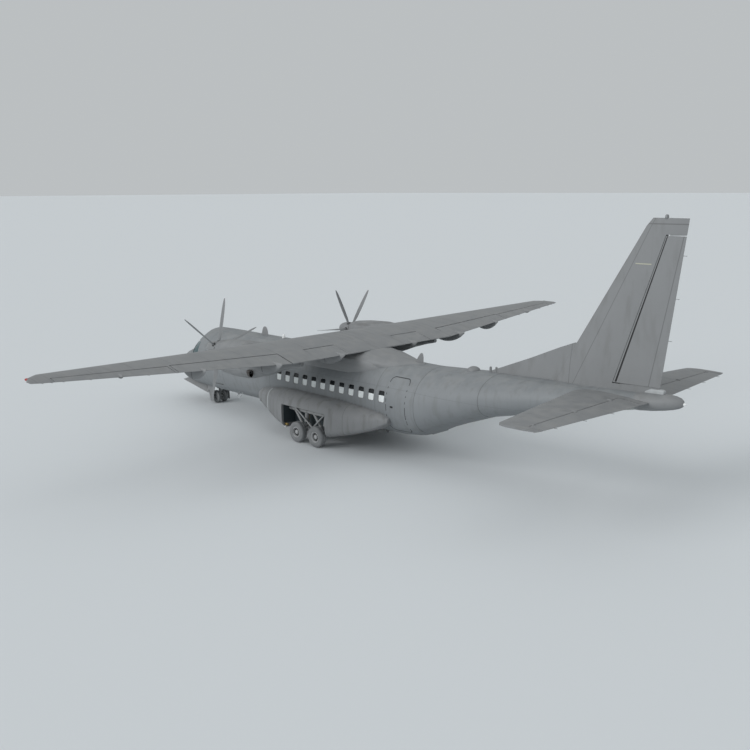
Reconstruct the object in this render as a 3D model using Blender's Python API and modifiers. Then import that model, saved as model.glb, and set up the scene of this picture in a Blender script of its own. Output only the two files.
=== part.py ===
"""Twin-propeller military transport aircraft, parked on its landing gear, at its real size.

Frame: metres, +X to port, -Y towards the nose, +Z up. The ground is Z = 0, and the origin lies on it
below the middle of the aircraft. Lengths along the fuselage are written as stations, in metres aft of a
datum just behind the tip of the nose; the function at_station turns a station into a Y coordinate.
"""

import math

import bmesh
import bpy
import numpy as np
from mathutils import Vector

# Driving dimensions
NOSE_STATION = -0.32
TAIL_STATION = 24.20
MID_STATION = (NOSE_STATION + TAIL_STATION) / 2
SEAM = 0.0003
CLEARANCE = 0.008
SKIN = 0.06

# Fuselage lines: station, half width, bottom height, top height
FUSELAGE = (
    (-0.32, 0.05, 1.50, 1.60),
    (-0.26, 0.22, 1.30, 1.82),
    (-0.08, 0.43, 1.10, 2.02),
    (0.20, 0.65, 0.94, 2.19),
    (0.55, 0.82, 0.85, 2.33),
    (0.85, 0.93, 0.81, 2.43),
    (1.25, 1.07, 0.78, 2.64),
    (1.75, 1.18, 0.76, 3.14),
    (2.25, 1.28, 0.75, 3.43),
    (2.85, 1.36, 0.75, 3.44),
    (3.50, 1.41, 0.75, 3.44),
    (4.30, 1.43, 0.75, 3.43),
    (12.00, 1.43, 0.75, 3.42),
    (13.40, 1.43, 0.755, 3.39),
    (14.20, 1.43, 0.78, 3.36),
    (14.90, 1.43, 0.87, 3.35),
    (15.25, 1.43, 0.98, 3.36),
    (15.90, 1.41, 1.30, 3.39),
    (16.60, 1.38, 1.58, 3.42),
    (17.95, 1.28, 2.07, 3.50),
    (19.30, 1.08, 2.37, 3.55),
    (20.30, 0.92, 2.57, 3.58),
    (21.50, 0.72, 2.82, 3.61),
    (22.80, 0.49, 3.09, 3.63),
    (23.70, 0.30, 3.28, 3.62),
    (24.12, 0.15, 3.38, 3.57),
    (24.20, 0.05, 3.43, 3.51),
)
# Roundness of a section above and below its widest line
UPPER_POWER = 2.05
LOWER_POWER = 2.35
SECTION_POINTS = 36

RADOME_END = 0.20
NOSE_END = 4.30
HOLD_END = 15.25
RAMP_END = 17.95
DOORS_END = 20.30
FLOOR_TOP = 1.20
FLOOR_DEPTH = 0.08
STRAIGHT_END = 12.00
FLOOR_EASE = 0.004
CROWN_ANGLE = 50
BELLY_ANGLE = 40

# Cargo doors: station, half width of the opening in the rear fuselage
DOOR_EDGE = ((15.25, 1.06), (17.95, 0.86), (20.30, 0.62))
RAMP_PIN_RADIUS = 0.035
RAMP_PIN_HEIGHT = 1.03
RAMP_TOP = ((15.25, 1.20), (17.95, 2.14))
RAMP_EDGE_DEPTH = 0.07
RAMP_GAP = 0.03
UPPER_DOOR_DEPTH = 0.07
UPPER_DOOR_END = 20.28
UPPER_DOOR_PIN = (20.268, 2.69)

# Windows and doors in the sides
WINDOW_COUNT = 12
WINDOW_FIRST = 8.09
WINDOW_PITCH = 0.513
WINDOW_HEIGHT = 2.28
WINDOW_SIZE = (0.30, 0.42)
PARA_DOOR = (14.10, 14.98, 1.25, 3.00)
CREW_DOOR = (3.36, 4.06, 1.28, 2.82)
CREW_PIN_RADIUS = 0.022
CREW_SILL_GAP = 0.048

# Wing: span position, leading edge station and height, trailing edge station and height, thickness ratio
WING = (
    (0.00, 9.25, 3.75, 12.20, 3.62, 0.165),
    (4.12, 9.25, 3.75, 12.20, 3.62, 0.165),
    (12.30, 10.24, 4.12, 11.35, 4.09, 0.125),
    (12.70, 10.60, 4.14, 11.30, 4.11, 0.115),
    (12.905, 11.02, 4.14, 11.28, 4.125, 0.100),
)
WING_JOINT = 4.12
WING_CAMBER = 0.025
FLAP_HINGE_SHARE = 0.73
AILERON_HINGE_SHARE = 0.75
INBOARD_FLAP = (1.50, 2.94)
OUTBOARD_FLAP = (4.155, 8.326)
AILERON = (8.465, 12.20)
AILERON_GAP = 0.025
FLAP_END_GAP = 0.034
FLAP_DROP = 0.30
# Flap hinge fairings: span position, length
INBOARD_PODS = ((1.90, 2.00),)
OUTBOARD_PODS = ((4.75, 2.00), (7.50, 1.40))
POD_WIDTH = 0.17
POD_SPLIT = 0.50
KNUCKLE_RADIUS = 0.03
KNUCKLE_HALF = 0.03

# Nacelle: station, half width, bottom height, top height
NACELLE = (
    (7.22, 0.34, 2.74, 3.80),
    (7.60, 0.46, 2.62, 3.88),
    (8.30, 0.52, 2.57, 3.96),
    (9.20, 0.52, 2.60, 4.00),
    (10.20, 0.47, 2.86, 3.92),
    (10.90, 0.36, 3.12, 3.80),
    (11.50, 0.20, 3.30, 3.67),
    (11.95, 0.08, 3.41, 3.55),
)
NACELLE_SPAN = 3.50
NACELLE_WALL = 0.05
FIREWALL = 9.05
ENGINE = (7.45, 0.58, 2.96, 3.60)
PROPELLER_STATION = 7.05
PROPELLER_HEIGHT = 3.46
PROPELLER_RADIUS = 1.945
SPINNER_RADIUS = 0.29
SPINNER_LENGTH = 0.66
BLADE_COUNT = 6
BLADE_PHASES = {"left": 41.0, "right": 4.0}
# Blade: radius, chord, pitch angle in degrees, thickness; the propellers are parked feathered
BLADE = (
    (0.16, 0.13, 106.0, 0.075),
    (0.55, 0.24, 99.0, 0.045),
    (1.20, 0.215, 90.0, 0.025),
    (1.75, 0.13, 83.0, 0.015),
    (1.945, 0.05, 81.0, 0.008),
)

# Tail: height or span position, leading edge station, trailing edge station, thickness ratio
FIN = ((3.35, 19.84, 23.473, 0.100), (8.40, 22.85, 24.095, 0.100), (8.62, 23.04, 24.12, 0.060))
FIN_HINGE = ((3.81, 22.12), (8.14, 23.51))
RUDDER = (3.82, 8.13)
RUDDER_GAPS = (0.030, 0.035)
# Dorsal fin: station, half width at the foot, half width at the ridge, ridge height
DORSAL = (
    (17.50, 0.03, 0.012, 3.53),
    (19.01, 0.07, 0.018, 4.13),
    (20.12, 0.10, 0.022, 4.61),
    (20.66, 0.11, 0.025, 4.82),
    (21.50, 0.11, 0.035, 4.86),
)
STABILISER = (
    (0.32, 20.95, 23.43, 0.095),
    (5.12, 21.72, 23.03, 0.085),
    (5.30, 21.86, 22.98, 0.050),
)
STABILISER_HEIGHT = 3.43
STABILISER_HINGE_SHARE = 0.68
ELEVATOR = (0.725, 5.00)
ELEVATOR_GAP = 0.02

# Main gear fairing: station, outer edge, bottom height, top height
SPONSON = (
    (6.95, 1.56, 1.14, 1.56),
    (7.10, 1.64, 1.05, 1.64),
    (7.65, 1.78, 0.82, 1.74),
    (8.30, 1.94, 0.57, 1.82),
    (8.93, 2.04, 0.38, 1.86),
    (11.42, 2.04, 0.40, 1.84),
    (12.60, 1.93, 0.72, 1.78),
    (13.60, 1.70, 1.05, 1.70),
    (14.08, 1.46, 1.33, 1.58),
)
SPONSON_POWERS = (2.6, 4.6)
NACELLE_POWERS = (2.35, 2.35)
SPONSON_INNER = 0.62
WELL = (8.95, 11.42, 1.32, 1.34)
MAIN_AXLES = (9.86, 10.93)
MAIN_WHEEL_SPAN = 1.97
MAIN_WHEEL_RADIUS = 0.40
MAIN_WHEEL_WIDTH = 0.27
MAIN_WHEEL_DISH = 0.06
GEAR_BEAM = (1.58, 1.14)

# Nose gear
NOSE_AXLE = 2.10
NOSE_WHEEL_RADIUS = 0.28
NOSE_WHEEL_WIDTH = 0.17
NOSE_WHEEL_SPAN = 0.19
NOSE_LEG_RADIUS = 0.075
NOSE_SWIVEL_HEIGHT = 0.80
NOSE_BAY = (0.30, 2.40, 0.29)
# Nose gear door: its hinge edge and its lower edge, each as span position, front and aft station, front
# and aft height; then its upright plate beside the wheels: front and aft station, height, top and bottom
DOOR_EDGES = ((0.294, 0.32, 1.78, 0.97, 0.80), (0.50, -0.02, 1.92, 0.83, 0.47))
DOOR_PLATE = ((1.72, 2.18, 0.95), (2.00, 2.24, 0.09))
DOOR_PLATE_SPAN = 0.416
DOOR_DEPTH = 0.022
HINGE_PIN_RADIUS = 0.012

AEROFOIL_STEPS = (1.0, 0.86, 0.73, 0.58, 0.42, 0.28, 0.16, 0.08, 0.03, 0.007, 0.0)


def at_station(station):
    """Y coordinate of a station."""
    return station - MID_STATION


def column(table, index):
    """One column of a table, as an array."""
    return np.array([row[index] for row in table])


def read_table(table, position, index):
    """A table's column read at a position between its rows."""
    return float(np.interp(position, column(table, 0), column(table, index)))


# Scene, collections and finishes
def clear_scene():
    for old in list(bpy.data.objects):
        bpy.data.objects.remove(old, do_unlink=True)


def new_collection(name):
    collection = bpy.data.collections.new(name)
    bpy.context.scene.collection.children.link(collection)
    return collection


def finish(name, colour, roughness, metallic):
    material = bpy.data.materials.new(name)
    material.use_nodes = True
    shader = material.node_tree.nodes["Principled BSDF"]
    shader.inputs["Base Color"].default_value = (*colour, 1.0)
    shader.inputs["Roughness"].default_value = roughness
    shader.inputs["Metallic"].default_value = metallic
    material.diffuse_color = (*colour, 1.0)
    return material


clear_scene()
AIRCRAFT = new_collection("Transport_Aircraft")
CUTTERS = new_collection("Cutters")
PAINT = finish("Grey_Paint", (0.21, 0.22, 0.23), 0.55, 0.1)
INTERIOR = finish("Interior_Grey", (0.30, 0.31, 0.31), 0.7, 0.0)
GEAR_PAINT = finish("Gear_Paint", (0.45, 0.46, 0.46), 0.45, 0.2)
WHEEL_RUBBER = finish("Wheel_Grey", (0.16, 0.16, 0.17), 0.8, 0.0)
ENGINE_METAL = finish("Engine_Metal", (0.35, 0.34, 0.32), 0.4, 0.8)


# Building blocks
def make_object(name, vertices, faces, material, origin=(0.0, 0.0, 0.0)):
    """A closed solid from its vertices and faces, with its origin at a chosen point."""
    base = Vector(origin)
    mesh = bpy.data.meshes.new(name)
    mesh.from_pydata([Vector(v) - base for v in vertices], [], faces)
    work = bmesh.new()
    work.from_mesh(mesh)
    bmesh.ops.recalc_face_normals(work, faces=work.faces)
    work.to_mesh(mesh)
    work.free()
    solid = bpy.data.objects.new(name, mesh)
    solid.location = base
    if material is None:
        CUTTERS.objects.link(solid)
        solid.hide_render = True
        solid.display_type = "WIRE"
    else:
        AIRCRAFT.objects.link(solid)
        mesh.materials.append(material)
        mesh.shade_smooth()
        mesh.set_sharp_from_angle(angle=math.radians(30))
    return solid


def loft(name, rings, material, origin=(0.0, 0.0, 0.0)):
    """A solid carried through closed rings of equal point count, capped at both ends."""
    return loft_all(name, [rings], material, origin)


def loft_all(name, ring_sets, material, origin=(0.0, 0.0, 0.0)):
    """Several lofts in one mesh; each is a list of rings."""
    vertices = []
    faces = []
    for rings in ring_sets:
        first = len(vertices)
        count = len(rings[0])
        for ring in rings:
            vertices.extend(ring)
        for level in range(len(rings) - 1):
            low = first + level * count
            for k in range(count):
                following = (k + 1) % count
                faces.append((low + k, low + following, low + count + following))
                faces.append((low + k, low + count + following, low + count + k))
        faces.append(tuple(first + k for k in range(count)))
        faces.append(tuple(first + (len(rings) - 1) * count + k for k in range(count)))
    return make_object(name, vertices, faces, material, origin)


def box(name, low, high, material):
    """An axis-aligned box between two corners, from a bmesh cube."""
    work = bmesh.new()
    bmesh.ops.create_cube(work, size=1.0)
    centre = (Vector(low) + Vector(high)) / 2
    size = Vector(high) - Vector(low)
    for vertex in work.verts:
        vertex.co = Vector(c + s * v for c, s, v in zip(centre, size, vertex.co))
    vertices = [tuple(v.co) for v in work.verts]
    faces = [tuple(v.index for v in f.verts) for f in work.faces]
    work.free()
    return make_object(name, vertices, faces, material)


def rod(name, start, end, radius, material, sides=10, origin=None):
    """A cylinder between two points, from a bmesh cone with equal radii."""
    start, end = Vector(start), Vector(end)
    along = end - start
    work = bmesh.new()
    bmesh.ops.create_cone(
        work, cap_ends=True, segments=sides, radius1=radius, radius2=radius, depth=along.length
    )
    turn = along.to_track_quat("Z", "Y").to_matrix()
    centre = (start + end) / 2
    vertices = [centre + turn @ v.co for v in work.verts]
    faces = [tuple(v.index for v in f.verts) for f in work.faces]
    work.free()
    return make_object(name, vertices, faces, material, origin or (0.0, 0.0, 0.0))


def starboard_twin(source, name):
    """A mirrored copy of a finished port solid."""
    graph = bpy.context.evaluated_depsgraph_get()
    mesh = bpy.data.meshes.new_from_object(source.evaluated_get(graph))
    mesh.transform(source.matrix_world)
    work = bmesh.new()
    work.from_mesh(mesh)
    vertices = [(-v.co.x, v.co.y, v.co.z) for v in work.verts]
    faces = [tuple(v.index for v in f.verts) for f in work.faces]
    work.free()
    x, y, z = source.location
    return make_object(name, vertices, faces, source.data.materials[0], (-x, y, z))


def combine(solid, other, operation):
    """Join, cut or trim a solid with another one by an exact Boolean modifier."""
    step = solid.modifiers.new(f"{operation.title()}_{len(solid.modifiers)}", "BOOLEAN")
    step.operation = operation
    step.solver = "EXACT"
    step.object = other
    return solid


def cut(solid, *others):
    for other in others:
        combine(solid, other, "DIFFERENCE")
    return solid


def join(solid, *others):
    for other in others:
        combine(solid, other, "UNION")
    return solid


def mirrored(points):
    """The same points on the other side of the middle plane."""
    return [(-x, y, z) for x, y, z in points]


def sided(rings, side):
    """Rings as given for port, mirrored for starboard."""
    return rings if side > 0 else [mirrored(ring) for ring in rings]


SIDES = (("left", 1), ("right", -1))


# Fuselage section
def section(station, inset=0.0, table=FUSELAGE):
    """Half width, half height and middle height of a body at a station, less an inset all round."""
    half_width = read_table(table, station, 1) - inset
    bottom = read_table(table, station, 2) + inset
    top = read_table(table, station, 3) - inset
    return half_width, (top - bottom) / 2, (top + bottom) / 2


def round_point(shape, angle, powers=(UPPER_POWER, LOWER_POWER)):
    """A point of a rounded section at an angle in degrees from port, turning up."""
    half_width, half_height, middle = shape
    c, s = math.cos(math.radians(angle)), math.sin(math.radians(angle))
    power = powers[0] if s >= 0.0 else powers[1]
    x = half_width * math.copysign(abs(c) ** (2 / power), c)
    z = half_height * math.copysign(abs(s) ** (2 / power), s)
    return x, middle + z


def body_ring(station, inset=0.0):
    """A whole fuselage section as a ring of points."""
    shape = section(station, inset)
    flat = [round_point(shape, 360 * k / SECTION_POINTS) for k in range(SECTION_POINTS)]
    return [(x, at_station(station), z) for x, z in flat]


def nacelle_ring(station, span, inset=0.0):
    """A whole nacelle section as a ring of points, around a centre at a span position."""
    shape = section(station, inset, NACELLE)
    flat = [round_point(shape, 18 * k, NACELLE_POWERS) for k in range(20)]
    return [(span + x, at_station(station), z) for x, z in flat]


def stations_between(start, end, table=FUSELAGE):
    """The start, the table's stations that lie between, and the end."""
    inside = [row[0] for row in table if start + 0.01 < row[0] < end - 0.01]
    return [start, *inside, end]


def lower_height(station, x, inset=0.0):
    """Height of the lower skin at a span position."""
    half_width, half_height, middle = section(station, inset)
    share = min(abs(x) / half_width, 1.0)
    return middle - half_height * (1 - share**LOWER_POWER) ** (1 / LOWER_POWER)


def skin_span(station, height, inset=0.0):
    """Span position of the skin at a height."""
    half_width, half_height, middle = section(station, inset)
    share = min(abs(height - middle) / half_height, 1.0)
    power = UPPER_POWER if height > middle else LOWER_POWER
    return half_width * (1 - share**power) ** (1 / power)


def fuselage_solid(name, start, end, inset, material=None):
    """The fuselage between two stations as a solid body."""
    return loft(name, [body_ring(s, inset) for s in stations_between(start, end)], material)


def skin_ring(station, from_angle, to_angle):
    """A ring round the cut edge of a skin panel: out along the outer face and back along the inner."""
    step = 360 // SECTION_POINTS
    angles = range(from_angle, to_angle + 1, step)
    outer = [round_point(section(station), a) for a in angles]
    inner = [round_point(section(station, SKIN), a) for a in angles]
    for line in (outer, inner):
        line[0] = towards(line[0], line[1], SEAM / 2)
        line[-1] = towards(line[-1], line[-2], SEAM / 2)
    return [(x, at_station(station), z) for x, z in outer + inner[::-1]]


def towards(point, goal, distance):
    """A flat point moved towards another by a distance."""
    gap = math.dist(point, goal)
    return tuple(p + (g - p) * distance / gap for p, g in zip(point, goal))


def side_panel_box(door, grow):
    """Corner heights and stations of a side door, grown all round."""
    return door[0] - grow, door[1] + grow, door[2] - grow, door[3] + grow


def door_leaf(name, door, side, low_gap=0.0, origin=(0.0, 0.0, 0.0)):
    """A side door as a piece of the skin, between two stations and two heights."""
    start, end, low, high = door
    reach = (start - 0.2, *[s for s in column(FUSELAGE, 0) if start - 0.2 < s < end + 0.2], end + 0.2)
    leaf = loft(name, sided([skin_ring(s, -60, 60) for s in reach], side), PAINT, origin)
    limits = sorted((side * 0.8, side * 1.8))
    frame = box(
        f"Leaf_Trim_{name}",
        (limits[0], at_station(start), low + low_gap),
        (limits[1], at_station(end), high),
        None,
    )
    return combine(leaf, frame, "INTERSECT")


def rounded_rectangle(centre, size, corner):
    """Eight points of a rectangle with cut corners, in a plane."""
    half_a, half_b = size[0] / 2, size[1] / 2
    corners = (
        (half_a - corner, -half_b),
        (half_a, corner - half_b),
        (half_a, half_b - corner),
        (half_a - corner, half_b),
        (corner - half_a, half_b),
        (-half_a, half_b - corner),
        (-half_a, corner - half_b),
        (corner - half_a, -half_b),
    )
    return [(centre[0] + a, centre[1] + b) for a, b in corners]


def side_prism(outline, from_x, to_x):
    """A prism across the aircraft from an outline of stations and heights."""
    return [[(x, at_station(s), z) for s, z in outline] for x in (from_x, to_x)]


def front_prism(outline, from_station, to_station):
    """A prism along the aircraft from an outline of span positions and heights."""
    return [[(x, at_station(s), z) for x, z in outline] for s in (from_station, to_station)]


# Fuselage
def build_nose():
    radome_stations = stations_between(NOSE_STATION, RADOME_END - SEAM)
    loft("radome", [body_ring(s) for s in radome_stations], PAINT)

    shell = fuselage_solid("nose_fuselage", RADOME_END, NOSE_END - SEAM, 0.0, PAINT)
    hollow = fuselage_solid("Nose_Hollow", RADOME_END + SKIN, NOSE_END + 0.2, SKIN)
    front_panes = ((0.04, 2.52), (0.60, 2.31), (0.60, 2.90), (0.04, 3.02))
    quarter_panes = ((0.90, 2.23), (1.58, 2.33), (1.58, 2.90), (0.98, 2.76))
    side_panes = ((1.66, 2.34), (2.28, 2.46), (2.28, 2.89), (1.66, 2.93))
    forward, quarter, sideways = [], [], []
    for side in (1, -1):
        forward.append(front_prism([(side * x, z) for x, z in front_panes], 0.70, 2.20))
        quarter.append(side_prism(quarter_panes, side * 0.66, side * 1.60))
        sideways.append(side_prism(side_panes, side * 0.66, side * 1.60))
    windscreen = loft_all("Windscreen_Cutter", forward, None)
    quarter_windows = loft_all("Quarter_Window_Cutter", quarter, None)
    side_windows = loft_all("Deck_Window_Cutter", sideways, None)
    low, high, half = NOSE_BAY
    bay = box("Nose_Bay_Cutter", (-half, at_station(low), 0.5), (half, at_station(high), 1.12), None)
    start, end, _, head = side_panel_box(CREW_DOOR, CLEARANCE)
    sill = CREW_DOOR[2] - CREW_SILL_GAP
    doorway = box(
        "Crew_Doorway_Cutter", (0.9, at_station(start), sill), (1.7, at_station(end), head), None
    )
    cut(shell, hollow, windscreen, quarter_windows, side_windows, bay, doorway)


def build_flight_deck():
    """Flight deck floor with pedestal, instrument panel, bulkhead and two seats on it."""
    floor_bottom = FLOOR_TOP - FLOOR_DEPTH
    deck = box(
        "flight_deck",
        (-1.5, at_station(1.42), floor_bottom),
        (1.5, at_station(NOSE_END - 0.0006), FLOOR_TOP),
        INTERIOR,
    )
    pieces = [
        box("Panel", (-0.86, at_station(1.56), 1.15), (0.86, at_station(1.72), 2.30), None),
        box("Glareshield", (-0.84, at_station(1.50), 2.22), (0.84, at_station(1.92), 2.30), None),
        box("Pedestal", (-0.16, at_station(1.70), 1.15), (0.16, at_station(2.70), 1.72), None),
    ]
    for side in (1, -1):
        x = side * 0.50
        pieces += [
            box("Seat_Base", (x - 0.17, at_station(2.42), 1.15), (x + 0.17, at_station(2.80), 1.52), None),
            box("Seat_Pan", (x - 0.25, at_station(2.32), 1.50), (x + 0.25, at_station(2.88), 1.64), None),
            box("Seat_Back", (x - 0.25, at_station(2.80), 1.55), (x + 0.25, at_station(2.94), 2.34), None),
        ]
    join(deck, *pieces)
    room = fuselage_solid("Deck_Trim", RADOME_END + SKIN + SEAM, NOSE_END + 0.2, SKIN + SEAM)
    combine(deck, room, "INTERSECT")


def build_hold():
    """Crown, sides, belly and floor of the cargo hold."""
    ends = stations_between(NOSE_END, HOLD_END - SEAM)
    crown = (CROWN_ANGLE, 180 - CROWN_ANGLE)
    port = (-BELLY_ANGLE, CROWN_ANGLE)
    starboard = (180 - CROWN_ANGLE, 180 + BELLY_ANGLE)
    belly = (180 + BELLY_ANGLE, 360 - BELLY_ANGLE)
    loft("crown_panel", [skin_ring(s, *crown) for s in ends], PAINT)
    sides = {
        "left": loft("side_panel_left", [skin_ring(s, *port) for s in ends], PAINT),
        "right": loft("side_panel_right", [skin_ring(s, *starboard) for s in ends], PAINT),
    }
    keel = loft("belly_panel", [skin_ring(s, *belly) for s in ends], PAINT)
    windows = []
    for k in range(WINDOW_COUNT):
        centre = (WINDOW_FIRST + k * WINDOW_PITCH, WINDOW_HEIGHT)
        windows.append(side_prism(rounded_rectangle(centre, WINDOW_SIZE, 0.06), -1.7, 1.7))
    panes = loft_all("Window_Cutter", windows, None)
    start, end, sill, head = side_panel_box(PARA_DOOR, SEAM)
    doorway = box(
        "Para_Doorway_Cutter", (-1.7, at_station(start), sill), (1.7, at_station(end), head), None
    )
    for panel in sides.values():
        cut(panel, panes, doorway)
    cut(keel, doorway)
    for word, side in SIDES:
        door_leaf(f"para_door_{word}", PARA_DOOR, side)

    floor = box(
        "cabin_floor",
        (-1.5, at_station(NOSE_END), FLOOR_TOP - FLOOR_DEPTH),
        (1.5, at_station(HOLD_END - SEAM), FLOOR_TOP),
        INTERIOR,
    )
    rings = []
    for station in stations_between(NOSE_END - 0.1, HOLD_END - SEAM / 2):
        rings.append(body_ring(station, SKIN + (SEAM if station <= STRAIGHT_END else FLOOR_EASE)))
    combine(floor, loft("Floor_Trim", rings, None), "INTERSECT")


def build_crew_door():
    """Port crew door, hinged along its sill, with a round hinge tube in its lower edge."""
    start, end, low, _ = CREW_DOOR
    pin_x = skin_span((start + end) / 2, low, SKIN / 2)
    origin = (pin_x, at_station((start + end) / 2), low)
    leaf = door_leaf("crew_door", CREW_DOOR, 1, 0.0, origin)
    tube = rod(
        "Crew_Hinge_Tube",
        (pin_x, at_station(start - CLEARANCE + SEAM), low),
        (pin_x, at_station(end + CLEARANCE - SEAM), low),
        CREW_PIN_RADIUS,
        None,
        12,
    )
    join(leaf, tube)


def tail_arch_ring(station, inner):
    """The rear fuselage above its doors: out over the top and back inside, as a ring."""
    edge = read_table(DOOR_EDGE, station, 1)
    lines = []
    for inset in (0.0, inner):
        shape = section(station, inset)
        start = -math.degrees(math.acos((edge / shape[0]) ** (LOWER_POWER / 2)))
        angles = np.linspace(start, 180 - start, 29)
        lines.append([round_point(shape, a) for a in angles])
    return [(x, at_station(station), z) for x, z in lines[0] + lines[1][::-1]]


def build_rear_fuselage():
    rings = [tail_arch_ring(s, SKIN) for s in stations_between(HOLD_END, DOORS_END - SEAM)]
    loft("rear_fuselage", rings, PAINT)

    cone = fuselage_solid("tail_cone", DOORS_END, TAIL_STATION, 0.0, PAINT)
    hollow = fuselage_solid("Tail_Hollow", DOORS_END - 0.1, 23.2, SKIN)
    cut(cone, hollow)


def door_section(station, edge, top_height):
    """A ring of a cargo door: across its curved lower skin and back over its top."""
    spans = np.linspace(-edge, edge, 11)
    lower = [(float(x), at_station(station), lower_height(station, x)) for x in spans]
    upper = [(x, y, top_height(x)) for x, y, _ in lower]
    return lower + upper[::-1]


def ramp_height(station, x):
    """Height of the ramp's flat floor, or of its raised edge where the skin curves up above that."""
    return max(read_table(RAMP_TOP, station, 1), lower_height(station, x) + RAMP_EDGE_DEPTH)


def build_cargo_doors():
    """The ramp, hinged at its front lower edge, and the upper door, hinged at its aft edge."""
    pin_station = HOLD_END + RAMP_PIN_RADIUS
    rings = []
    for station in stations_between(pin_station, RAMP_END - RAMP_GAP):
        edge = read_table(DOOR_EDGE, station, 1) - CLEARANCE
        rings.append(door_section(station, edge, lambda x, s=station: ramp_height(s, x)))
    origin = (0.0, at_station(pin_station), RAMP_PIN_HEIGHT)
    ramp = loft("cargo_ramp", rings, PAINT, origin)
    half = 0.40
    tube = rod(
        "Ramp_Hinge_Tube",
        (-half, at_station(pin_station), RAMP_PIN_HEIGHT),
        (half, at_station(pin_station), RAMP_PIN_HEIGHT),
        RAMP_PIN_RADIUS - SEAM,
        None,
        12,
    )
    join(ramp, tube)

    rings = []
    for station in stations_between(RAMP_END, UPPER_DOOR_END):
        edge = read_table(DOOR_EDGE, station, 1) - CLEARANCE
        rings.append(
            door_section(station, edge, lambda x, s=station: lower_height(s, x) + UPPER_DOOR_DEPTH)
        )
    pin_s, pin_z = UPPER_DOOR_PIN
    door = loft("upper_cargo_door", rings, PAINT, (0.0, at_station(pin_s), pin_z))
    reach = read_table(DOOR_EDGE, pin_s + 0.02, 1) - SEAM
    pin = rod("Door_Pin", (-reach, at_station(pin_s), pin_z), (reach, at_station(pin_s), pin_z), 0.02, None)
    join(door, pin)


# Lifting surfaces
def aerofoil(chord, ratio, camber=0.0, grow=0.0):
    """Upper then lower points of a section: distance aft of the leading edge and height off the chord."""
    upper, lower = [], []
    for u in AEROFOIL_STEPS:
        shape = 0.2969 * math.sqrt(u) - 0.1260 * u - 0.3516 * u**2 + 0.2843 * u**3 - 0.1015 * u**4
        half = 5 * ratio * shape * chord + 0.004 * u * chord + grow
        middle = 4 * camber * u * (1 - u) * chord
        aft = u * chord + grow * (2 * u - 1)
        upper.append((aft, middle + half))
        lower.append((aft, middle - half))
    if grow == 0.0:
        lower = lower[:-1]
    return upper, lower


def wing_values(span):
    """Leading edge station and height, trailing edge station and height, thickness ratio at a span."""
    return [read_table(WING, abs(span), k) for k in range(1, 6)]


def wing_ring(span, grow=0.0):
    """Wing section at a span position, as a ring."""
    le_s, le_z, te_s, te_z, ratio = wing_values(span)
    chord = te_s - le_s
    upper, lower = aerofoil(chord, ratio, WING_CAMBER, grow)
    tilt = (te_z - le_z) / chord
    line = upper + lower[::-1]
    return [(span, at_station(le_s + a), le_z + tilt * a + h) for a, h in line]


def wing_solid(name, spans, grow=0.0, material=None):
    return loft(name, [wing_ring(x, grow) for x in spans], material)


def wing_line(span, share):
    """Station, middle height and half thickness of the wing at a share of its chord."""
    le_s, le_z, te_s, te_z, ratio = wing_values(span)
    chord = te_s - le_s
    u = share
    shape = 0.2969 * math.sqrt(u) - 0.1260 * u - 0.3516 * u**2 + 0.2843 * u**3 - 0.1015 * u**4
    half = 5 * ratio * shape * chord + 0.004 * u * chord
    middle = le_z + (te_z - le_z) * u + 4 * WING_CAMBER * u * (1 - u) * chord
    return le_s + u * chord, middle, half


def wing_trailing_edge(span):
    """Station and height of the wing's trailing edge."""
    values = wing_values(span)
    return values[2], values[3]


def surface_section(hinge, half, tail, tail_half, grow=0.0):
    """Outline of a control surface: a round nose about the hinge and a taper to the trailing edge.

    Points are distance aft and height; the nose runs from the upper face round the front to the lower.
    """
    nose = []
    for angle in range(80, 281, 25):
        a = math.radians(angle)
        nose.append((hinge[0] + (half + grow) * math.cos(a), hinge[1] + (half + grow) * math.sin(a)))
    reach = 0.3 if grow else 0.0
    return nose + [
        (tail[0] + reach, tail[1] - tail_half - grow * 4),
        (tail[0] + reach, tail[1] + tail_half + grow * 4),
    ]


def flap_ring(span, share, grow=0.0):
    """Section of a flap or aileron at a span position; with a grow it is the bay that it lies in."""
    station, middle, half = wing_line(span, share)
    te_s, te_z = wing_trailing_edge(span)
    outline = surface_section((station, middle), half * 0.985, (te_s, te_z), 0.006, grow)
    if grow:
        outline[0] = (outline[0][0], outline[0][1] + 0.15)
        outline[-3] = (outline[-3][0], outline[-3][1] - 0.04)
        outline[-2] = (outline[-2][0], outline[-2][1] - 0.2)
        outline[-1] = (outline[-1][0], outline[-1][1] + 0.2)
    return [(span, at_station(s), z) for s, z in outline]


def bay(name, start, end, share, side):
    """Cutter for the space that a flap or aileron lies in."""
    return loft(name, sided([flap_ring(x, share, CLEARANCE) for x in (start, end)], side), None)


def flap_pin(span):
    """The dropped flap hinge at a span position, as a point."""
    station, middle, half = wing_line(span, FLAP_HINGE_SHARE)
    return Vector((span, at_station(station + 0.03), middle - half - FLAP_DROP))


def flap_axis(pods):
    """Direction of the hinge line through a flap's pins."""
    pins = [flap_pin(span) for span, _ in pods]
    return (pins[-1] - pins[0]).normalized() if len(pins) > 1 else Vector((1, 0, 0))


def knuckle_reach(pods):
    """How far the rim of a leaning knuckle reaches forward of its pin, with the seam before it."""
    lean = flap_axis(pods).y
    return KNUCKLE_HALF * abs(lean) + KNUCKLE_RADIUS * math.sqrt(1 - lean**2) + SEAM


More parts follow.
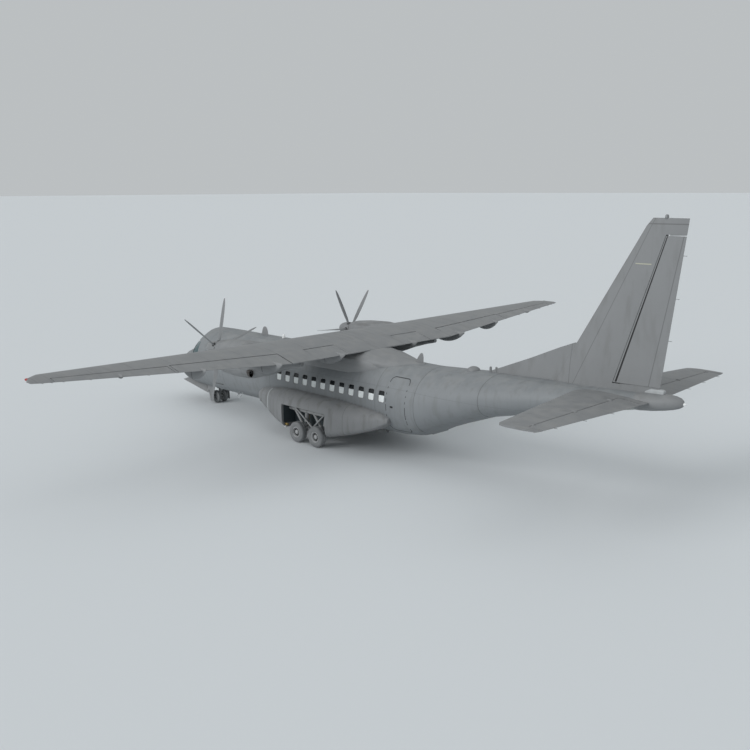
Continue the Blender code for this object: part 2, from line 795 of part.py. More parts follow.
def pod_rings(pod, from_share, to_share, front_gap=0.0):
    """Flap hinge fairing between two shares of its length, deepest at its split."""
    span, length = pod
    pin = flap_pin(span)
    start = pin.y - POD_SPLIT * length
    top = wing_line(span, FLAP_HINGE_SHARE)[1]
    rings = []
    for share in np.linspace(from_share, to_share, 6):
        fullness = math.sin(math.pi * min(max(share, 0.012), 0.988)) ** 0.6
        half_height = (top - pin.z + KNUCKLE_RADIUS + 0.005) * fullness / 2
        y = start + share * length - front_gap
        ring = []
        for k in range(12):
            angle = math.radians(30 * k)
            x = span + POD_WIDTH / 2 * fullness * math.cos(angle)
            ring.append((x, y, top - half_height + half_height * math.sin(angle)))
        rings.append(ring)
    return rings


def build_wing():
    centre = wing_solid("wing_centre", (SEAM - WING_JOINT, WING_JOINT - SEAM), 0.0, PAINT)
    start, end = INBOARD_FLAP
    share = FLAP_HINGE_SHARE
    for word, side in SIDES:
        front = pod_rings(INBOARD_PODS[0], 0.0, POD_SPLIT, knuckle_reach(INBOARD_PODS))
        join(centre, loft(f"Inboard_Pod_Front_{word}", sided(front, side), None))
        cut(centre, bay(f"Inboard_Bay_{word}", start - 0.012, end + 0.012, share, side))

    spans = [row[0] for row in WING if row[0] >= WING_JOINT]
    outer = wing_solid("wing_outer_left", spans, 0.0, PAINT)
    for k, pod in enumerate(OUTBOARD_PODS):
        front = pod_rings(pod, 0.0, POD_SPLIT, knuckle_reach(OUTBOARD_PODS))
        join(outer, loft(f"Pod_Front_{k}", front, None))
    cut(outer, bay("Outboard_Bay", WING_JOINT - 0.1, OUTBOARD_FLAP[1] + FLAP_END_GAP, share, 1))
    low, high = AILERON
    cut(outer, bay("Aileron_Bay", low - AILERON_GAP, high + AILERON_GAP, AILERON_HINGE_SHARE, 1))
    starboard_twin(outer, "wing_outer_right")


def build_flaps():
    rows = (("flap_inboard", INBOARD_FLAP, INBOARD_PODS), ("flap_outboard", OUTBOARD_FLAP, OUTBOARD_PODS))
    for name, (start, end), pods in rows:
        for word, side in SIDES:
            mirror = Vector((side, 1, 1))
            pins = [flap_pin(span) for span, _ in pods]
            axis = flap_axis(pods)
            rings = sided([flap_ring(x, FLAP_HINGE_SHARE) for x in (start, end)], side)
            flap = loft(f"{name}_{word}", rings, PAINT, pins[0] * mirror)
            for k, (pod, pin) in enumerate(zip(pods, pins)):
                rear = sided(pod_rings(pod, POD_SPLIT, 1.0), side)
                ends = [(pin + axis * reach) * mirror for reach in (-KNUCKLE_HALF, KNUCKLE_HALF)]
                knuckle = rod(f"Knuckle_{name}_{word}_{k}", *ends, KNUCKLE_RADIUS, None, 12)
                join(flap, loft(f"Pod_Rear_{name}_{word}_{k}", rear, None), knuckle)


def build_ailerons():
    low, high = AILERON
    for word, side in SIDES:
        ends = [wing_line(x, AILERON_HINGE_SHARE) for x in (low, high)]
        pins = [(x, at_station(e[0]), e[1]) for x, e in zip((low, high), ends)]
        middle = tuple((a + b) / 2 for a, b in zip(*pins))
        origin = (side * middle[0], middle[1], middle[2])
        rings = sided([flap_ring(x, AILERON_HINGE_SHARE) for x in (low, high)], side)
        aileron = loft(f"aileron_{word}", rings, PAINT, origin)
        walls = (side * (low - AILERON_GAP), side * (high + AILERON_GAP))
        pins = [Vector((side * p[0], p[1], p[2])) for p in pins]
        join(aileron, *hinge_pins(f"Aileron_Pin_{word}", pins, walls, 0))


def hinge_pins(name, points, walls, index):
    """Two round pins on a hinge line, each from inside the moving surface nearly to a wall.

    The walls are square to the axis of that index, so a pin's round end stops short of its wall by the
    seam plus the height that its tilted rim takes up.
    """
    pins = []
    for k, wall in enumerate(walls):
        near, far = Vector(points[k]), Vector(points[1 - k])
        along = (near - far).normalized()
        lean = abs(along[index])
        gap = 2 * SEAM + HINGE_PIN_RADIUS * math.sqrt(1 - lean**2)
        end = near + along * (abs(wall - near[index]) - gap) / lean
        pins.append(rod(f"{name}_{k}", near - along * 0.06, end, HINGE_PIN_RADIUS, None, 12))
    return pins


def build_wing_fairing():
    """Fairing between the crown and the wing."""
    # Station, half width, top height
    rows = ((7.90, 0.55, 3.44), (8.45, 1.00, 3.66), (9.20, 1.22, 3.86), (11.8, 1.22, 3.70), (12.6, 1.10, 3.58))
    rows += ((13.45, 0.70, 3.46),)
    rings = []
    for station, half_width, top in rows:
        shape = (half_width, top - 3.05, 3.05)
        flat = [round_point(shape, 20 * k, (2.8, 2.8)) for k in range(18)]
        rings.append([(x, at_station(station), z) for x, z in flat])
    fairing = loft("wing_fairing", rings, PAINT)
    cut(fairing, fuselage_solid("Fairing_Body_Cutter", 6.0, 14.5, -SEAM))
    cut(fairing, wing_solid("Fairing_Wing_Cutter", (-2.0, 2.0), SEAM * 2))


# Engines
def build_nacelles():
    for word, side in SIDES:
        centre = side * NACELLE_SPAN
        stations = [row[0] for row in NACELLE]
        rings = [nacelle_ring(s, centre) for s in stations]
        shell = loft(f"nacelle_{word}", rings, PAINT)
        inside = [s for s in stations if 7.3 < s < FIREWALL]
        hollow_stations = [NACELLE[0][0] + 0.06, *inside, FIREWALL]
        hollow = loft(
            f"Nacelle_Hollow_{word}",
            [nacelle_ring(s, centre, NACELLE_WALL) for s in hollow_stations],
            None,
        )
        intake_outline = rounded_rectangle((centre, 2.93), (0.40, 0.22), 0.08)
        intake = loft(f"Intake_Cutter_{word}", front_prism(intake_outline, 7.0, 7.5), None)
        shaft_way = rod(
            f"Shaft_Way_{word}",
            (centre, at_station(7.0), PROPELLER_HEIGHT),
            (centre, at_station(7.5), PROPELLER_HEIGHT),
            0.12,
            None,
            16,
        )
        spans = [side * x for x in (2.2, WING_JOINT, 4.6)]
        wing = wing_solid(f"Nacelle_Wing_Cutter_{word}", spans, SEAM * 2)
        cut(shell, hollow, intake, shaft_way, wing)

        front, width, low, high = ENGINE
        box(
            f"engine_{word}",
            (centre - width / 2, at_station(front), low),
            (centre + width / 2, at_station(FIREWALL - SEAM), high),
            ENGINE_METAL,
        )


def blade_rings(phase):
    """Rings of one blade, from its root in the hub to its tip, in the disc's own frame."""
    direction = np.array([math.cos(phase), 0.0, math.sin(phase)])
    across = np.array([-math.sin(phase), 0.0, math.cos(phase)])
    rearward = np.array([0.0, 1.0, 0.0])
    rings = []
    for radius, chord, pitch, thickness in BLADE:
        angle = math.radians(pitch)
        chord_line = across * math.cos(angle) + rearward * math.sin(angle)
        normal = rearward * math.cos(angle) - across * math.sin(angle)
        outline = ((-0.5, 0.0), (-0.2, 0.5), (0.2, 0.42), (0.5, 0.0), (0.2, -0.42), (-0.2, -0.5))
        ring = [direction * radius + chord_line * c * chord + normal * t * thickness for c, t in outline]
        rings.append(ring)
    return rings


def build_propellers():
    for word, side in SIDES:
        origin = Vector((side * NACELLE_SPAN, at_station(PROPELLER_STATION), PROPELLER_HEIGHT))
        phase = math.radians(BLADE_PHASES[word])
        profile = [(0.0, SPINNER_LENGTH)]
        for k in range(1, 7):
            share = k / 6
            radius = SPINNER_RADIUS * math.sqrt(1 - (1 - share) ** 2)
            profile.append((radius, SPINNER_LENGTH - share * (SPINNER_LENGTH - 0.1)))
        shaft_end = -(ENGINE[0] - PROPELLER_STATION - SEAM)
        profile += [(SPINNER_RADIUS, -0.12), (0.07, -0.12), (0.07, shaft_end), (0.0, shaft_end)]
        hub = turned(f"propeller_{word}", profile, origin, "forward", PAINT, 20)
        sets = []
        for k in range(BLADE_COUNT):
            rings = blade_rings(phase + 2 * math.pi * k / BLADE_COUNT)
            sets.append([[tuple(Vector(p) + origin) for p in ring] for ring in rings])
        join(hub, loft_all(f"Blades_{word}", sets, None, origin))


def turned(name, profile, origin, facing, material, steps=24):
    """A solid of revolution: radius and distance along its axis, by a Screw modifier."""
    mesh = bpy.data.meshes.new(name)
    points = [(r, 0.0, h) for r, h in profile]
    mesh.from_pydata(points, [(k, k + 1) for k in range(len(points) - 1)], [])
    solid = bpy.data.objects.new(name, mesh)
    solid.location = origin
    if facing == "forward":
        solid.rotation_euler = (math.radians(90), 0.0, 0.0)
    else:
        solid.rotation_euler = (0.0, math.radians(90), 0.0)
    AIRCRAFT.objects.link(solid)
    mesh.materials.append(material)
    screw = solid.modifiers.new("Turn", "SCREW")
    screw.steps = steps
    screw.render_steps = steps
    screw.use_merge_vertices = True
    screw.merge_threshold = 0.00005
    screw.use_smooth_shade = True
    return solid


# Tail
def fin_ring(height, grow=0.0):
    le_s = read_table(FIN, height, 1)
    te_s = read_table(FIN, height, 2)
    upper, lower = aerofoil(te_s - le_s, read_table(FIN, height, 3), 0.0, grow)
    return [(h, at_station(le_s + a), height) for a, h in upper + lower[::-1]]


def fin_hinge(height):
    """Station of the rudder's hinge and half thickness of the fin there."""
    heights, stations = column(FIN_HINGE, 0), column(FIN_HINGE, 1)
    slope = (stations[1] - stations[0]) / (heights[1] - heights[0])
    station = float(stations[0] + slope * (height - heights[0]))
    le_s = read_table(FIN, height, 1)
    te_s = read_table(FIN, height, 2)
    chord = te_s - le_s
    u = (station - le_s) / chord
    shape = 0.2969 * math.sqrt(u) - 0.1260 * u - 0.3516 * u**2 + 0.2843 * u**3 - 0.1015 * u**4
    return station, 5 * read_table(FIN, height, 3) * shape * chord + 0.004 * u * chord


def rudder_ring(height, grow=0.0):
    station, half = fin_hinge(height)
    te_s = read_table(FIN, height, 2)
    outline = surface_section((station, 0.0), half * 0.97, (te_s, 0.0), 0.006, grow)
    if grow:
        outline[0] = (outline[0][0], outline[0][1] + 0.1)
        outline[-3] = (outline[-3][0], outline[-3][1] - 0.1)
        outline[-2] = (outline[-2][0], outline[-2][1] - 0.2)
        outline[-1] = (outline[-1][0], outline[-1][1] + 0.2)
    return [(x, at_station(s), height) for s, x in outline]


def build_fin():
    fin = loft("fin", [fin_ring(row[0]) for row in FIN], PAINT)
    rings = []
    for station, foot, ridge, height in DORSAL:
        outline = ((foot, 3.30), (ridge, height), (-ridge, height), (-foot, 3.30))
        rings.append([(x, at_station(station), z) for x, z in outline])
    dorsal = loft("Dorsal", rings, None)
    join(fin, dorsal)
    cut(fin, fuselage_solid("Fin_Body_Cutter", 16.0, TAIL_STATION - 0.05, -SEAM))
    low, high = RUDDER
    floor, ceiling = low - RUDDER_GAPS[0], high + RUDDER_GAPS[1]
    cut(fin, loft("Rudder_Bay", [rudder_ring(z, 0.015) for z in (floor, ceiling)], None))

    points = [Vector((0.0, at_station(fin_hinge(z)[0]), z)) for z in (low, high)]
    rudder = loft("rudder", [rudder_ring(z) for z in (low, high)], PAINT, (points[0] + points[1]) / 2)
    join(rudder, *hinge_pins("Rudder_Pin", points, (floor, ceiling), 2))


def stabiliser_ring(span):
    le_s = read_table(STABILISER, span, 1)
    te_s = read_table(STABILISER, span, 2)
    upper, lower = aerofoil(te_s - le_s, read_table(STABILISER, span, 3))
    return [(span, at_station(le_s + a), STABILISER_HEIGHT + h) for a, h in upper + lower[::-1]]


def stabiliser_hinge(span):
    le_s = read_table(STABILISER, span, 1)
    te_s = read_table(STABILISER, span, 2)
    chord = te_s - le_s
    u = STABILISER_HINGE_SHARE
    shape = 0.2969 * math.sqrt(u) - 0.1260 * u - 0.3516 * u**2 + 0.2843 * u**3 - 0.1015 * u**4
    return le_s + u * chord, 5 * read_table(STABILISER, span, 3) * shape * chord + 0.004 * u * chord


def elevator_ring(span, grow=0.0):
    station, half = stabiliser_hinge(span)
    te_s = read_table(STABILISER, span, 2)
    outline = surface_section(
        (station, STABILISER_HEIGHT), half * 0.97, (te_s, STABILISER_HEIGHT), 0.005, grow
    )
    if grow:
        outline[0] = (outline[0][0], outline[0][1] + 0.1)
        outline[-3] = (outline[-3][0], outline[-3][1] - 0.1)
        outline[-2] = (outline[-2][0], outline[-2][1] - 0.2)
        outline[-1] = (outline[-1][0], outline[-1][1] + 0.2)
    return [(span, at_station(s), z) for s, z in outline]


def build_tailplane():
    low, high = ELEVATOR
    for word, side in SIDES:
        rings = sided([stabiliser_ring(row[0]) for row in STABILISER], side)
        tailplane = loft(f"stabiliser_{word}", rings, PAINT)
        cut(tailplane, fuselage_solid(f"Stabiliser_Body_Cutter_{word}", 20.0, TAIL_STATION - 0.05, -SEAM))
        walls = (low - ELEVATOR_GAP, high + ELEVATOR_GAP)
        space = [elevator_ring(x, CLEARANCE) for x in walls]
        cut(tailplane, loft(f"Elevator_Bay_{word}", sided(space, side), None))

        points = []
        for span in (low, high):
            points.append(Vector((side * span, at_station(stabiliser_hinge(span)[0]), STABILISER_HEIGHT)))
        rings = sided([elevator_ring(x) for x in (low, high)], side)
        elevator = loft(f"elevator_{word}", rings, PAINT, (points[0] + points[1]) / 2)
        join(elevator, *hinge_pins(f"Elevator_Pin_{word}", points, [side * x for x in walls], 0))


# Landing gear
def sponson_ring(station):
    outer = read_table(SPONSON, station, 1)
    low = read_table(SPONSON, station, 2)
    high = read_table(SPONSON, station, 3)
    half_width = (outer - SPONSON_INNER) / 2
    shape = (half_width, (high - low) / 2, (high + low) / 2)
    flat = [round_point(shape, 15 * k, SPONSON_POWERS) for k in range(24)]
    return [(SPONSON_INNER + half_width + x, at_station(station), z) for x, z in flat]


def build_sponsons():
    start, end, inner, top = WELL
    for word, side in SIDES:
        rings = sided([sponson_ring(row[0]) for row in SPONSON], side)
        fairing = loft(f"sponson_{word}", rings, PAINT)
        low_corner = (min(side * inner, side * 2.4), at_station(start), 0.2)
        high_corner = (max(side * inner, side * 2.4), at_station(end), top)
        well = box(f"Well_Cutter_{word}", low_corner, high_corner, None)
        body = fuselage_solid(f"Sponson_Body_Cutter_{word}", 6.0, 14.9, -SEAM)
        cut(fairing, body, well)


def build_main_gear():
    """Per side: a beam along the well, and a leg, a trailing arm and an axle for each wheel."""
    beam_x, beam_z = GEAR_BEAM
    axle_inner = MAIN_WHEEL_SPAN - MAIN_WHEEL_WIDTH / 2 + MAIN_WHEEL_DISH
    for word, side in SIDES:
        x = side * beam_x
        ends = (at_station(WELL[0] + SEAM), at_station(WELL[1] - SEAM))
        gear = rod(f"main_gear_{word}", (x, ends[0], beam_z), (x, ends[1], beam_z), 0.07, GEAR_PAINT, 12)
        for k, axle in enumerate(MAIN_AXLES):
            y = at_station(axle)
            z = MAIN_WHEEL_RADIUS
            knee = (x, y, z)
            parts = [
                rod(f"Arm_{word}_{k}", (x, y - 0.62, beam_z), knee, 0.055, None, 10),
                rod(f"Strut_{word}_{k}", (x, y + 0.10, beam_z), (x, y, z), 0.06, None, 10),
                rod(
                    f"Axle_{word}_{k}",
                    (side * (beam_x - 0.07), y, z),
                    (side * (axle_inner - SEAM), y, z),
                    0.06,
                    None,
                    12,
                ),
            ]
            join(gear, *parts)


def wheel_profile(radius, width, hub_radius, dish):
    """Radius and distance along the axle of a wheel with a rounded tyre and dished hub, top to bottom."""
    half = width / 2
    shoulder = radius - 0.22 * width
    side_points = [
        (hub_radius, half - dish),
        (hub_radius + 0.02, half - 0.01),
        (shoulder - 0.03, half),
        (shoulder + 0.10 * width, half * 0.86),
        (radius, half * 0.45),
    ]
    outer = [(0.0, half - dish), *side_points]
    return outer + [(r, -h) for r, h in reversed(outer)]


def build_main_wheels():
    for word, side in SIDES:
        for name, axle in zip(("front", "rear"), MAIN_AXLES):
            profile = wheel_profile(MAIN_WHEEL_RADIUS, MAIN_WHEEL_WIDTH, 0.19, MAIN_WHEEL_DISH)
            origin = (side * MAIN_WHEEL_SPAN, at_station(axle), MAIN_WHEEL_RADIUS)
            turned(f"main_wheel_{word}_{name}", profile, origin, "side", WHEEL_RUBBER)


def build_nose_gear():
    y = at_station(NOSE_AXLE)
    top = FLOOR_TOP - FLOOR_DEPTH - SEAM
    leg = rod("nose_gear_leg", (0, y, NOSE_SWIVEL_HEIGHT), (0, y, top), NOSE_LEG_RADIUS, GEAR_PAINT, 12)
    brace = rod("Nose_Brace", (0, y, 0.90), (0, y - 0.62, top - 0.06), 0.04, None, 8)
    foot = box("Brace_Foot", (-0.12, y - 0.76, top - 0.08), (0.12, y - 0.52, top), None)
    join(leg, brace, foot)

    origin = (0.0, y, NOSE_SWIVEL_HEIGHT)
    axle_radius = 0.05
    fork_low = NOSE_WHEEL_RADIUS + axle_radius + SEAM * 3
    rod("nose_gear_fork", (0, y, fork_low), (0, y, NOSE_SWIVEL_HEIGHT - SEAM), 0.06, GEAR_PAINT, 12, origin)

    wheel = wheel_profile(NOSE_WHEEL_RADIUS, NOSE_WHEEL_WIDTH, 0.13, 0.04)
    right = [(r, h - NOSE_WHEEL_SPAN) for r, h in wheel]
    left = [(r, h + NOSE_WHEEL_SPAN) for r, h in wheel]
    profile = left[:-1] + [(axle_radius, left[-1][1]), (axle_radius, right[0][1])] + right[1:]
    turned("nose_wheels", profile, (0.0, y, NOSE_WHEEL_RADIUS), "side", WHEEL_RUBBER)

    for word, side in SIDES:
        panel = []
        for x, front, aft, front_z, aft_z in DOOR_EDGES:
            outline = ((x, front, front_z), (x, aft, aft_z))
            edge = [(a, at_station(s), z) for a, s, z in outline]
            panel.append(edge + [(a + DOOR_DEPTH, b, c) for a, b, c in reversed(edge)])
        door = loft(f"nose_gear_door_{word}", sided(panel, side), PAINT)
        plate = []
        for front, aft, z in DOOR_PLATE:
            edge = [(DOOR_PLATE_SPAN, at_station(s), z) for s in (front, aft)]
            plate.append(edge + [(a + DOOR_DEPTH, b, c) for a, b, c in reversed(edge)])
        join(door, loft(f"Door_Plate_{word}", sided(plate, side), None))
        cut(door, fuselage_solid(f"Door_Body_Cutter_{word}", 0.21, 3.0, -SEAM))


build_nose()
build_flight_deck()
build_hold()
build_crew_door()
build_rear_fuselage()
build_cargo_doors()
build_wing()
build_flaps()
build_ailerons()
build_wing_fairing()
build_nacelles()
build_propellers()
build_fin()
build_tailplane()
build_sponsons()
build_main_gear()
build_main_wheels()
build_nose_gear()
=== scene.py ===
"""A parked transport plane with two propellers: finishes, glazing, wheels, blades and fittings."""

import logging
import math
from dataclasses import dataclass
from enum import Enum
from typing import Any

import bmesh
import bpy
import numpy as np
from mathutils import Matrix


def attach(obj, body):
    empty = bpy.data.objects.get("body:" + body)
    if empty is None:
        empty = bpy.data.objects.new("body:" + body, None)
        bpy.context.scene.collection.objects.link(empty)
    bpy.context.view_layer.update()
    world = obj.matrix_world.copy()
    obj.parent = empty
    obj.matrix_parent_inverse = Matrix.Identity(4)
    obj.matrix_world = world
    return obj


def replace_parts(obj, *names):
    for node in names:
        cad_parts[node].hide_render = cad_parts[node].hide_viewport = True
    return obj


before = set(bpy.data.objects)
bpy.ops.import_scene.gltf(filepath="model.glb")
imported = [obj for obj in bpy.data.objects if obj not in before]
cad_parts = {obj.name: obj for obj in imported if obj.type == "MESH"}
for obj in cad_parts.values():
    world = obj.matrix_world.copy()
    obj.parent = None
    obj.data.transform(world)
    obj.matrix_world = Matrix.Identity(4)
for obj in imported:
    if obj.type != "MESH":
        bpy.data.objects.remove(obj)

LOG = logging.getLogger("transport_plane")
Grid = np.ndarray
Socket = bpy.types.NodeSocket
Pair = tuple[float, float]
Triple = tuple[float, float, float]
Rows = tuple[tuple[float, ...], ...]
# Station of the frame's origin, a full turn, and the directions that profiles keep to
MID_STATION = 11.94
FULL_TURN = 2 * math.pi
UPWARD = (0.0, 0.0, 1.0)
AFTWARD = (0.0, 1.0, 0.0)
# Distances below which points and edges are joined, and the bend past which an edge is drawn sharp
WELD = 1e-5
SLIVER = 1e-6
SHARP_BEND = 35.0
AIRFRAME = "airframe"


class Axis(Enum):
    """The three directions of the aeroplane: out along the span, aft, and up."""

    SPAN = 0
    AFT = 1
    UP = 2


class Side(Enum):
    """Port and starboard, with the sign of their span positions."""

    LEFT = 1
    RIGHT = -1

    @property
    def word(self) -> str:
        """The side's name as the solids write it."""
        return self.name.lower()


# Shapes: grids of points worked out as whole arrays
def place(span: Any, station: Any, height: Any) -> Grid:
    """Points from span position, station and height.

    Args:
        span: distance to port of the middle.
        station: distance aft of the nose datum.
        height: height above the ground.

    Returns:
        The points, with x, y, z as the last axis.
    """
    span, station, height = np.broadcast_arrays(span, station, height)
    return np.stack([span, station - MID_STATION, height], axis=-1).astype(float)


def lattice(rows: int, columns: int, closed: bool) -> Grid:
    """Corner numbers of the quads of a grid.

    Quad (i, j) joins point (i, j) to the next point of its row and of the row after; a closed grid also
    joins each row's last point to its first.

    Args:
        rows: number of rows.
        columns: points in a row.
        closed: whether the rows are rings.

    Returns:
        Four corner numbers for each quad.
    """
    index = np.arange(rows * columns).reshape(rows, columns)
    here = index if closed else index[:, :-1]
    ahead = np.roll(index, -1, axis=1) if closed else index[:, 1:]
    return np.stack([here[:-1], ahead[:-1], ahead[1:], here[1:]], axis=-1).reshape(-1, 4)


def unit(vectors: Grid) -> Grid:
    """The vectors brought to a length of one."""
    return vectors / np.maximum(np.linalg.norm(vectors, axis=-1, keepdims=True), 1e-12)


def bulged(values: Grid, power: Any) -> Grid:
    """The values' sizes raised to a power, each with its own sign."""
    return np.sign(values) * np.abs(values) ** power


def circle(radius: float, sides: int) -> Grid:
    """Points round a circle in two measures, as a profile.

    Args:
        radius: the circle's radius.
        sides: number of points.

    Returns:
        The points: radius times the cosine and the sine of equal angles.
    """
    angles = np.arange(sides) * FULL_TURN / sides
    return radius * np.stack([np.cos(angles), np.sin(angles)], axis=-1)


def rounded_outline(width: float, height: float, corner: float, steps: int = 5) -> Grid:
    """A rectangle with round corners, as a profile about its middle.

    Each corner is a quarter circle about a centre set in by the corner's radius from both edges.

    Args:
        width: first measure across.
        height: second measure across.
        corner: radius of the corners.
        steps: points on each corner.

    Returns:
        The outline's points, counter-clockwise.
    """
    quarter = np.linspace(0, math.pi / 2, steps)
    turns = (np.arange(4)[:, None] * math.pi / 2 + quarter[None, :]).ravel()
    signs = np.repeat(np.array([(1, 1), (-1, 1), (-1, -1), (1, -1)]), steps, axis=0)
    centres = signs * (np.array([width, height]) / 2 - corner)
    return centres + corner * np.stack([np.cos(turns), np.sin(turns)], axis=-1)


def carried(path: Grid, profile: Grid, up: Triple = UPWARD) -> Grid:
    """A profile carried along a path.

    At each point of the path the profile's first measure is laid along the side direction, square to the
    path and to the given up direction, and its second along the direction square to both.

    Args:
        path: points of the path.
        profile: the profile's two measures, or one profile for each point of the path.
        up: direction that the profile keeps its second measure close to.

    Returns:
        A grid with one ring of the profile for each point of the path.
    """
    along = unit(np.gradient(path, axis=0))
    side = unit(np.cross(along, np.array(up, dtype=float)))
    rise = np.cross(side, along)
    shape = np.broadcast_to(profile, (len(path), *profile.shape[-2:]))
    return path[:, None, :] + shape[..., :1] * side[:, None, :] + shape[..., 1:] * rise[:, None, :]


def turned(profile: Grid, centre: Grid, axis: Axis, steps: int) -> Grid:
    """A surface of revolution.

    A profile point of radius r and distance h goes to the centre plus h along the axis plus r times the
    cosine and sine of the turn along the two other directions.

    Args:
        profile: radius and distance along the axis of each point.
        centre: the point that distances are measured from.
        axis: direction of the axis.
        steps: points in each ring.

    Returns:
        A grid with one ring for each profile point.
    """
    angles = np.arange(steps) * FULL_TURN / steps
    profile = np.asarray(profile, dtype=float)
    points = np.zeros((len(profile), steps, 3))
    first, second = (axis.value + 1) % 3, (axis.value + 2) % 3
    points[..., axis.value] = profile[:, 1:2]
    points[..., first] = profile[:, :1] * np.cos(angles)
    points[..., second] = profile[:, :1] * np.sin(angles)
    return points + centre


def blob(centre: Grid, radii: Triple, rows: int = 9, steps: int = 18) -> Grid:
    """An ellipsoid: each ring at one angle from pole to pole, drawn out by the three radii."""
    angles = np.linspace(0, math.pi, rows)
    ball = turned(np.stack([np.sin(angles), -np.cos(angles)], axis=-1), np.zeros(3), Axis.UP, steps)
    return centre + ball * np.array(radii)


def dense_ring(flat: Grid, count: int) -> Grid:
    """A closed outline with each of its edges cut into equal steps."""
    shares = np.linspace(0, 1, count + 1)[:count, None]
    return (flat[:, None] + (np.roll(flat, -1, axis=0) - flat)[:, None] * shares).reshape(-1, 2)


def mirrored(points: Grid, side: Side) -> Grid:
    """The points on the given side: a port grid, or its mirror image across the middle plane."""
    return points * np.array([side.value, 1.0, 1.0])


class Shape:
    """One piece's mesh, gathered from grids of points and their quads."""

    def __init__(self) -> None:
        """Starts with no points."""
        self.points: list[Grid] = []
        self.faces: list[tuple[int, ...]] = []
        self.marks: list[Grid] = []
        self.count = 0

    def grid(self, points: Grid, closed: bool = False, caps: bool = False, mark: Any = 0.0) -> "Shape":
        """Adds a grid.

        Args:
            points: rows of points.
            closed: whether each row is a ring.
            caps: whether the first and last rings get a lid.
            mark: the worn share at each point, one number or one for each point.

        Returns:
            The shape itself.
        """
        rows, columns = points.shape[:2]
        faces = lattice(rows, columns, closed) + self.count
        self.faces += [tuple(face) for face in faces.tolist()]
        if caps:
            ring = list(range(self.count, self.count + columns))
            last = self.count + (rows - 1) * columns
            self.faces += [tuple(ring[::-1]), tuple(range(last, last + columns))]
        self.points.append(points.reshape(-1, 3))
        self.marks.append(np.broadcast_to(mark, (rows, columns)).reshape(-1))
        self.count += rows * columns
        return self

    def tube(self, points: Grid, mark: Any = 0.0) -> "Shape":
        """Adds rings of points, with a lid on the first and the last."""
        return self.grid(points, closed=True, caps=True, mark=mark)

    def rod(self, start: Grid, end: Grid, radius: float, sides: int) -> "Shape":
        """Adds a round rod between two points, as two rings of a circle carried along the line."""
        upright = np.abs(unit(end - start)[2]) > 0.9
        path = np.linspace(start, end, 2)
        return self.tube(carried(path, circle(radius, sides), AFTWARD if upright else UPWARD))

    def lathe(self, profile: Any, centre: Grid, axis: Axis, steps: int = 24) -> "Shape":
        """Adds a profile turned about an axis through a point."""
        return self.grid(turned(profile, centre, axis, steps), closed=True)

    def pad(self, sheets: list[Grid]) -> "Shape":
        """Adds a thin disc: an outer and an inner sheet of rings, joined round their last rings."""
        outer, inner = sheets
        return self.grid(outer, True).grid(inner, True).grid(np.stack([outer[-1], inner[-1]]), True)

    def plate(self, front: Grid, back: Grid) -> "Shape":
        """Adds a closed plate between two sheets of the same grid.

        Args:
            front: rows of points of the outer sheet.
            back: rows of points of the inner sheet.

        Returns:
            The shape itself.
        """
        rim = [np.concatenate([g[0], g[1:, -1], g[-1, -2::-1], g[-2:0:-1, 0]]) for g in (front, back)]
        return self.grid(front).grid(back).grid(np.stack(rim), closed=True)

    def made(self, name: str, finish: "Finish", body: str = AIRFRAME) -> bpy.types.Object:
        """Makes the piece and lets it ride on its body.

        Args:
            name: the piece's name.
            finish: its material's maker.
            body: the body that it moves with.

        Returns:
            The new object.
        """
        mesh = bpy.data.meshes.new(name)
        mesh.from_pydata(np.concatenate(self.points).tolist(), [], self.faces)
        worn = mesh.attributes.new("worn", "FLOAT", "POINT")
        worn.data.foreach_set("value", np.concatenate(self.marks).astype(np.float32))
        build = bmesh.new()
        build.from_mesh(mesh)
        bmesh.ops.remove_doubles(build, verts=build.verts, dist=WELD)
        bmesh.ops.dissolve_degenerate(build, edges=build.edges, dist=SLIVER)
        bmesh.ops.recalc_face_normals(build, faces=build.faces)
        build.to_mesh(mesh)
        build.free()
        mesh.shade_smooth()
        mesh.set_sharp_from_angle(angle=math.radians(SHARP_BEND))
        mesh.materials.append(finish.material())
        piece = bpy.data.objects.new(name, mesh)
        bpy.context.scene.collection.objects.link(piece)
        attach(piece, body)
        LOG.info("%s: %d faces on %s", name, len(mesh.polygons), body)
        return piece


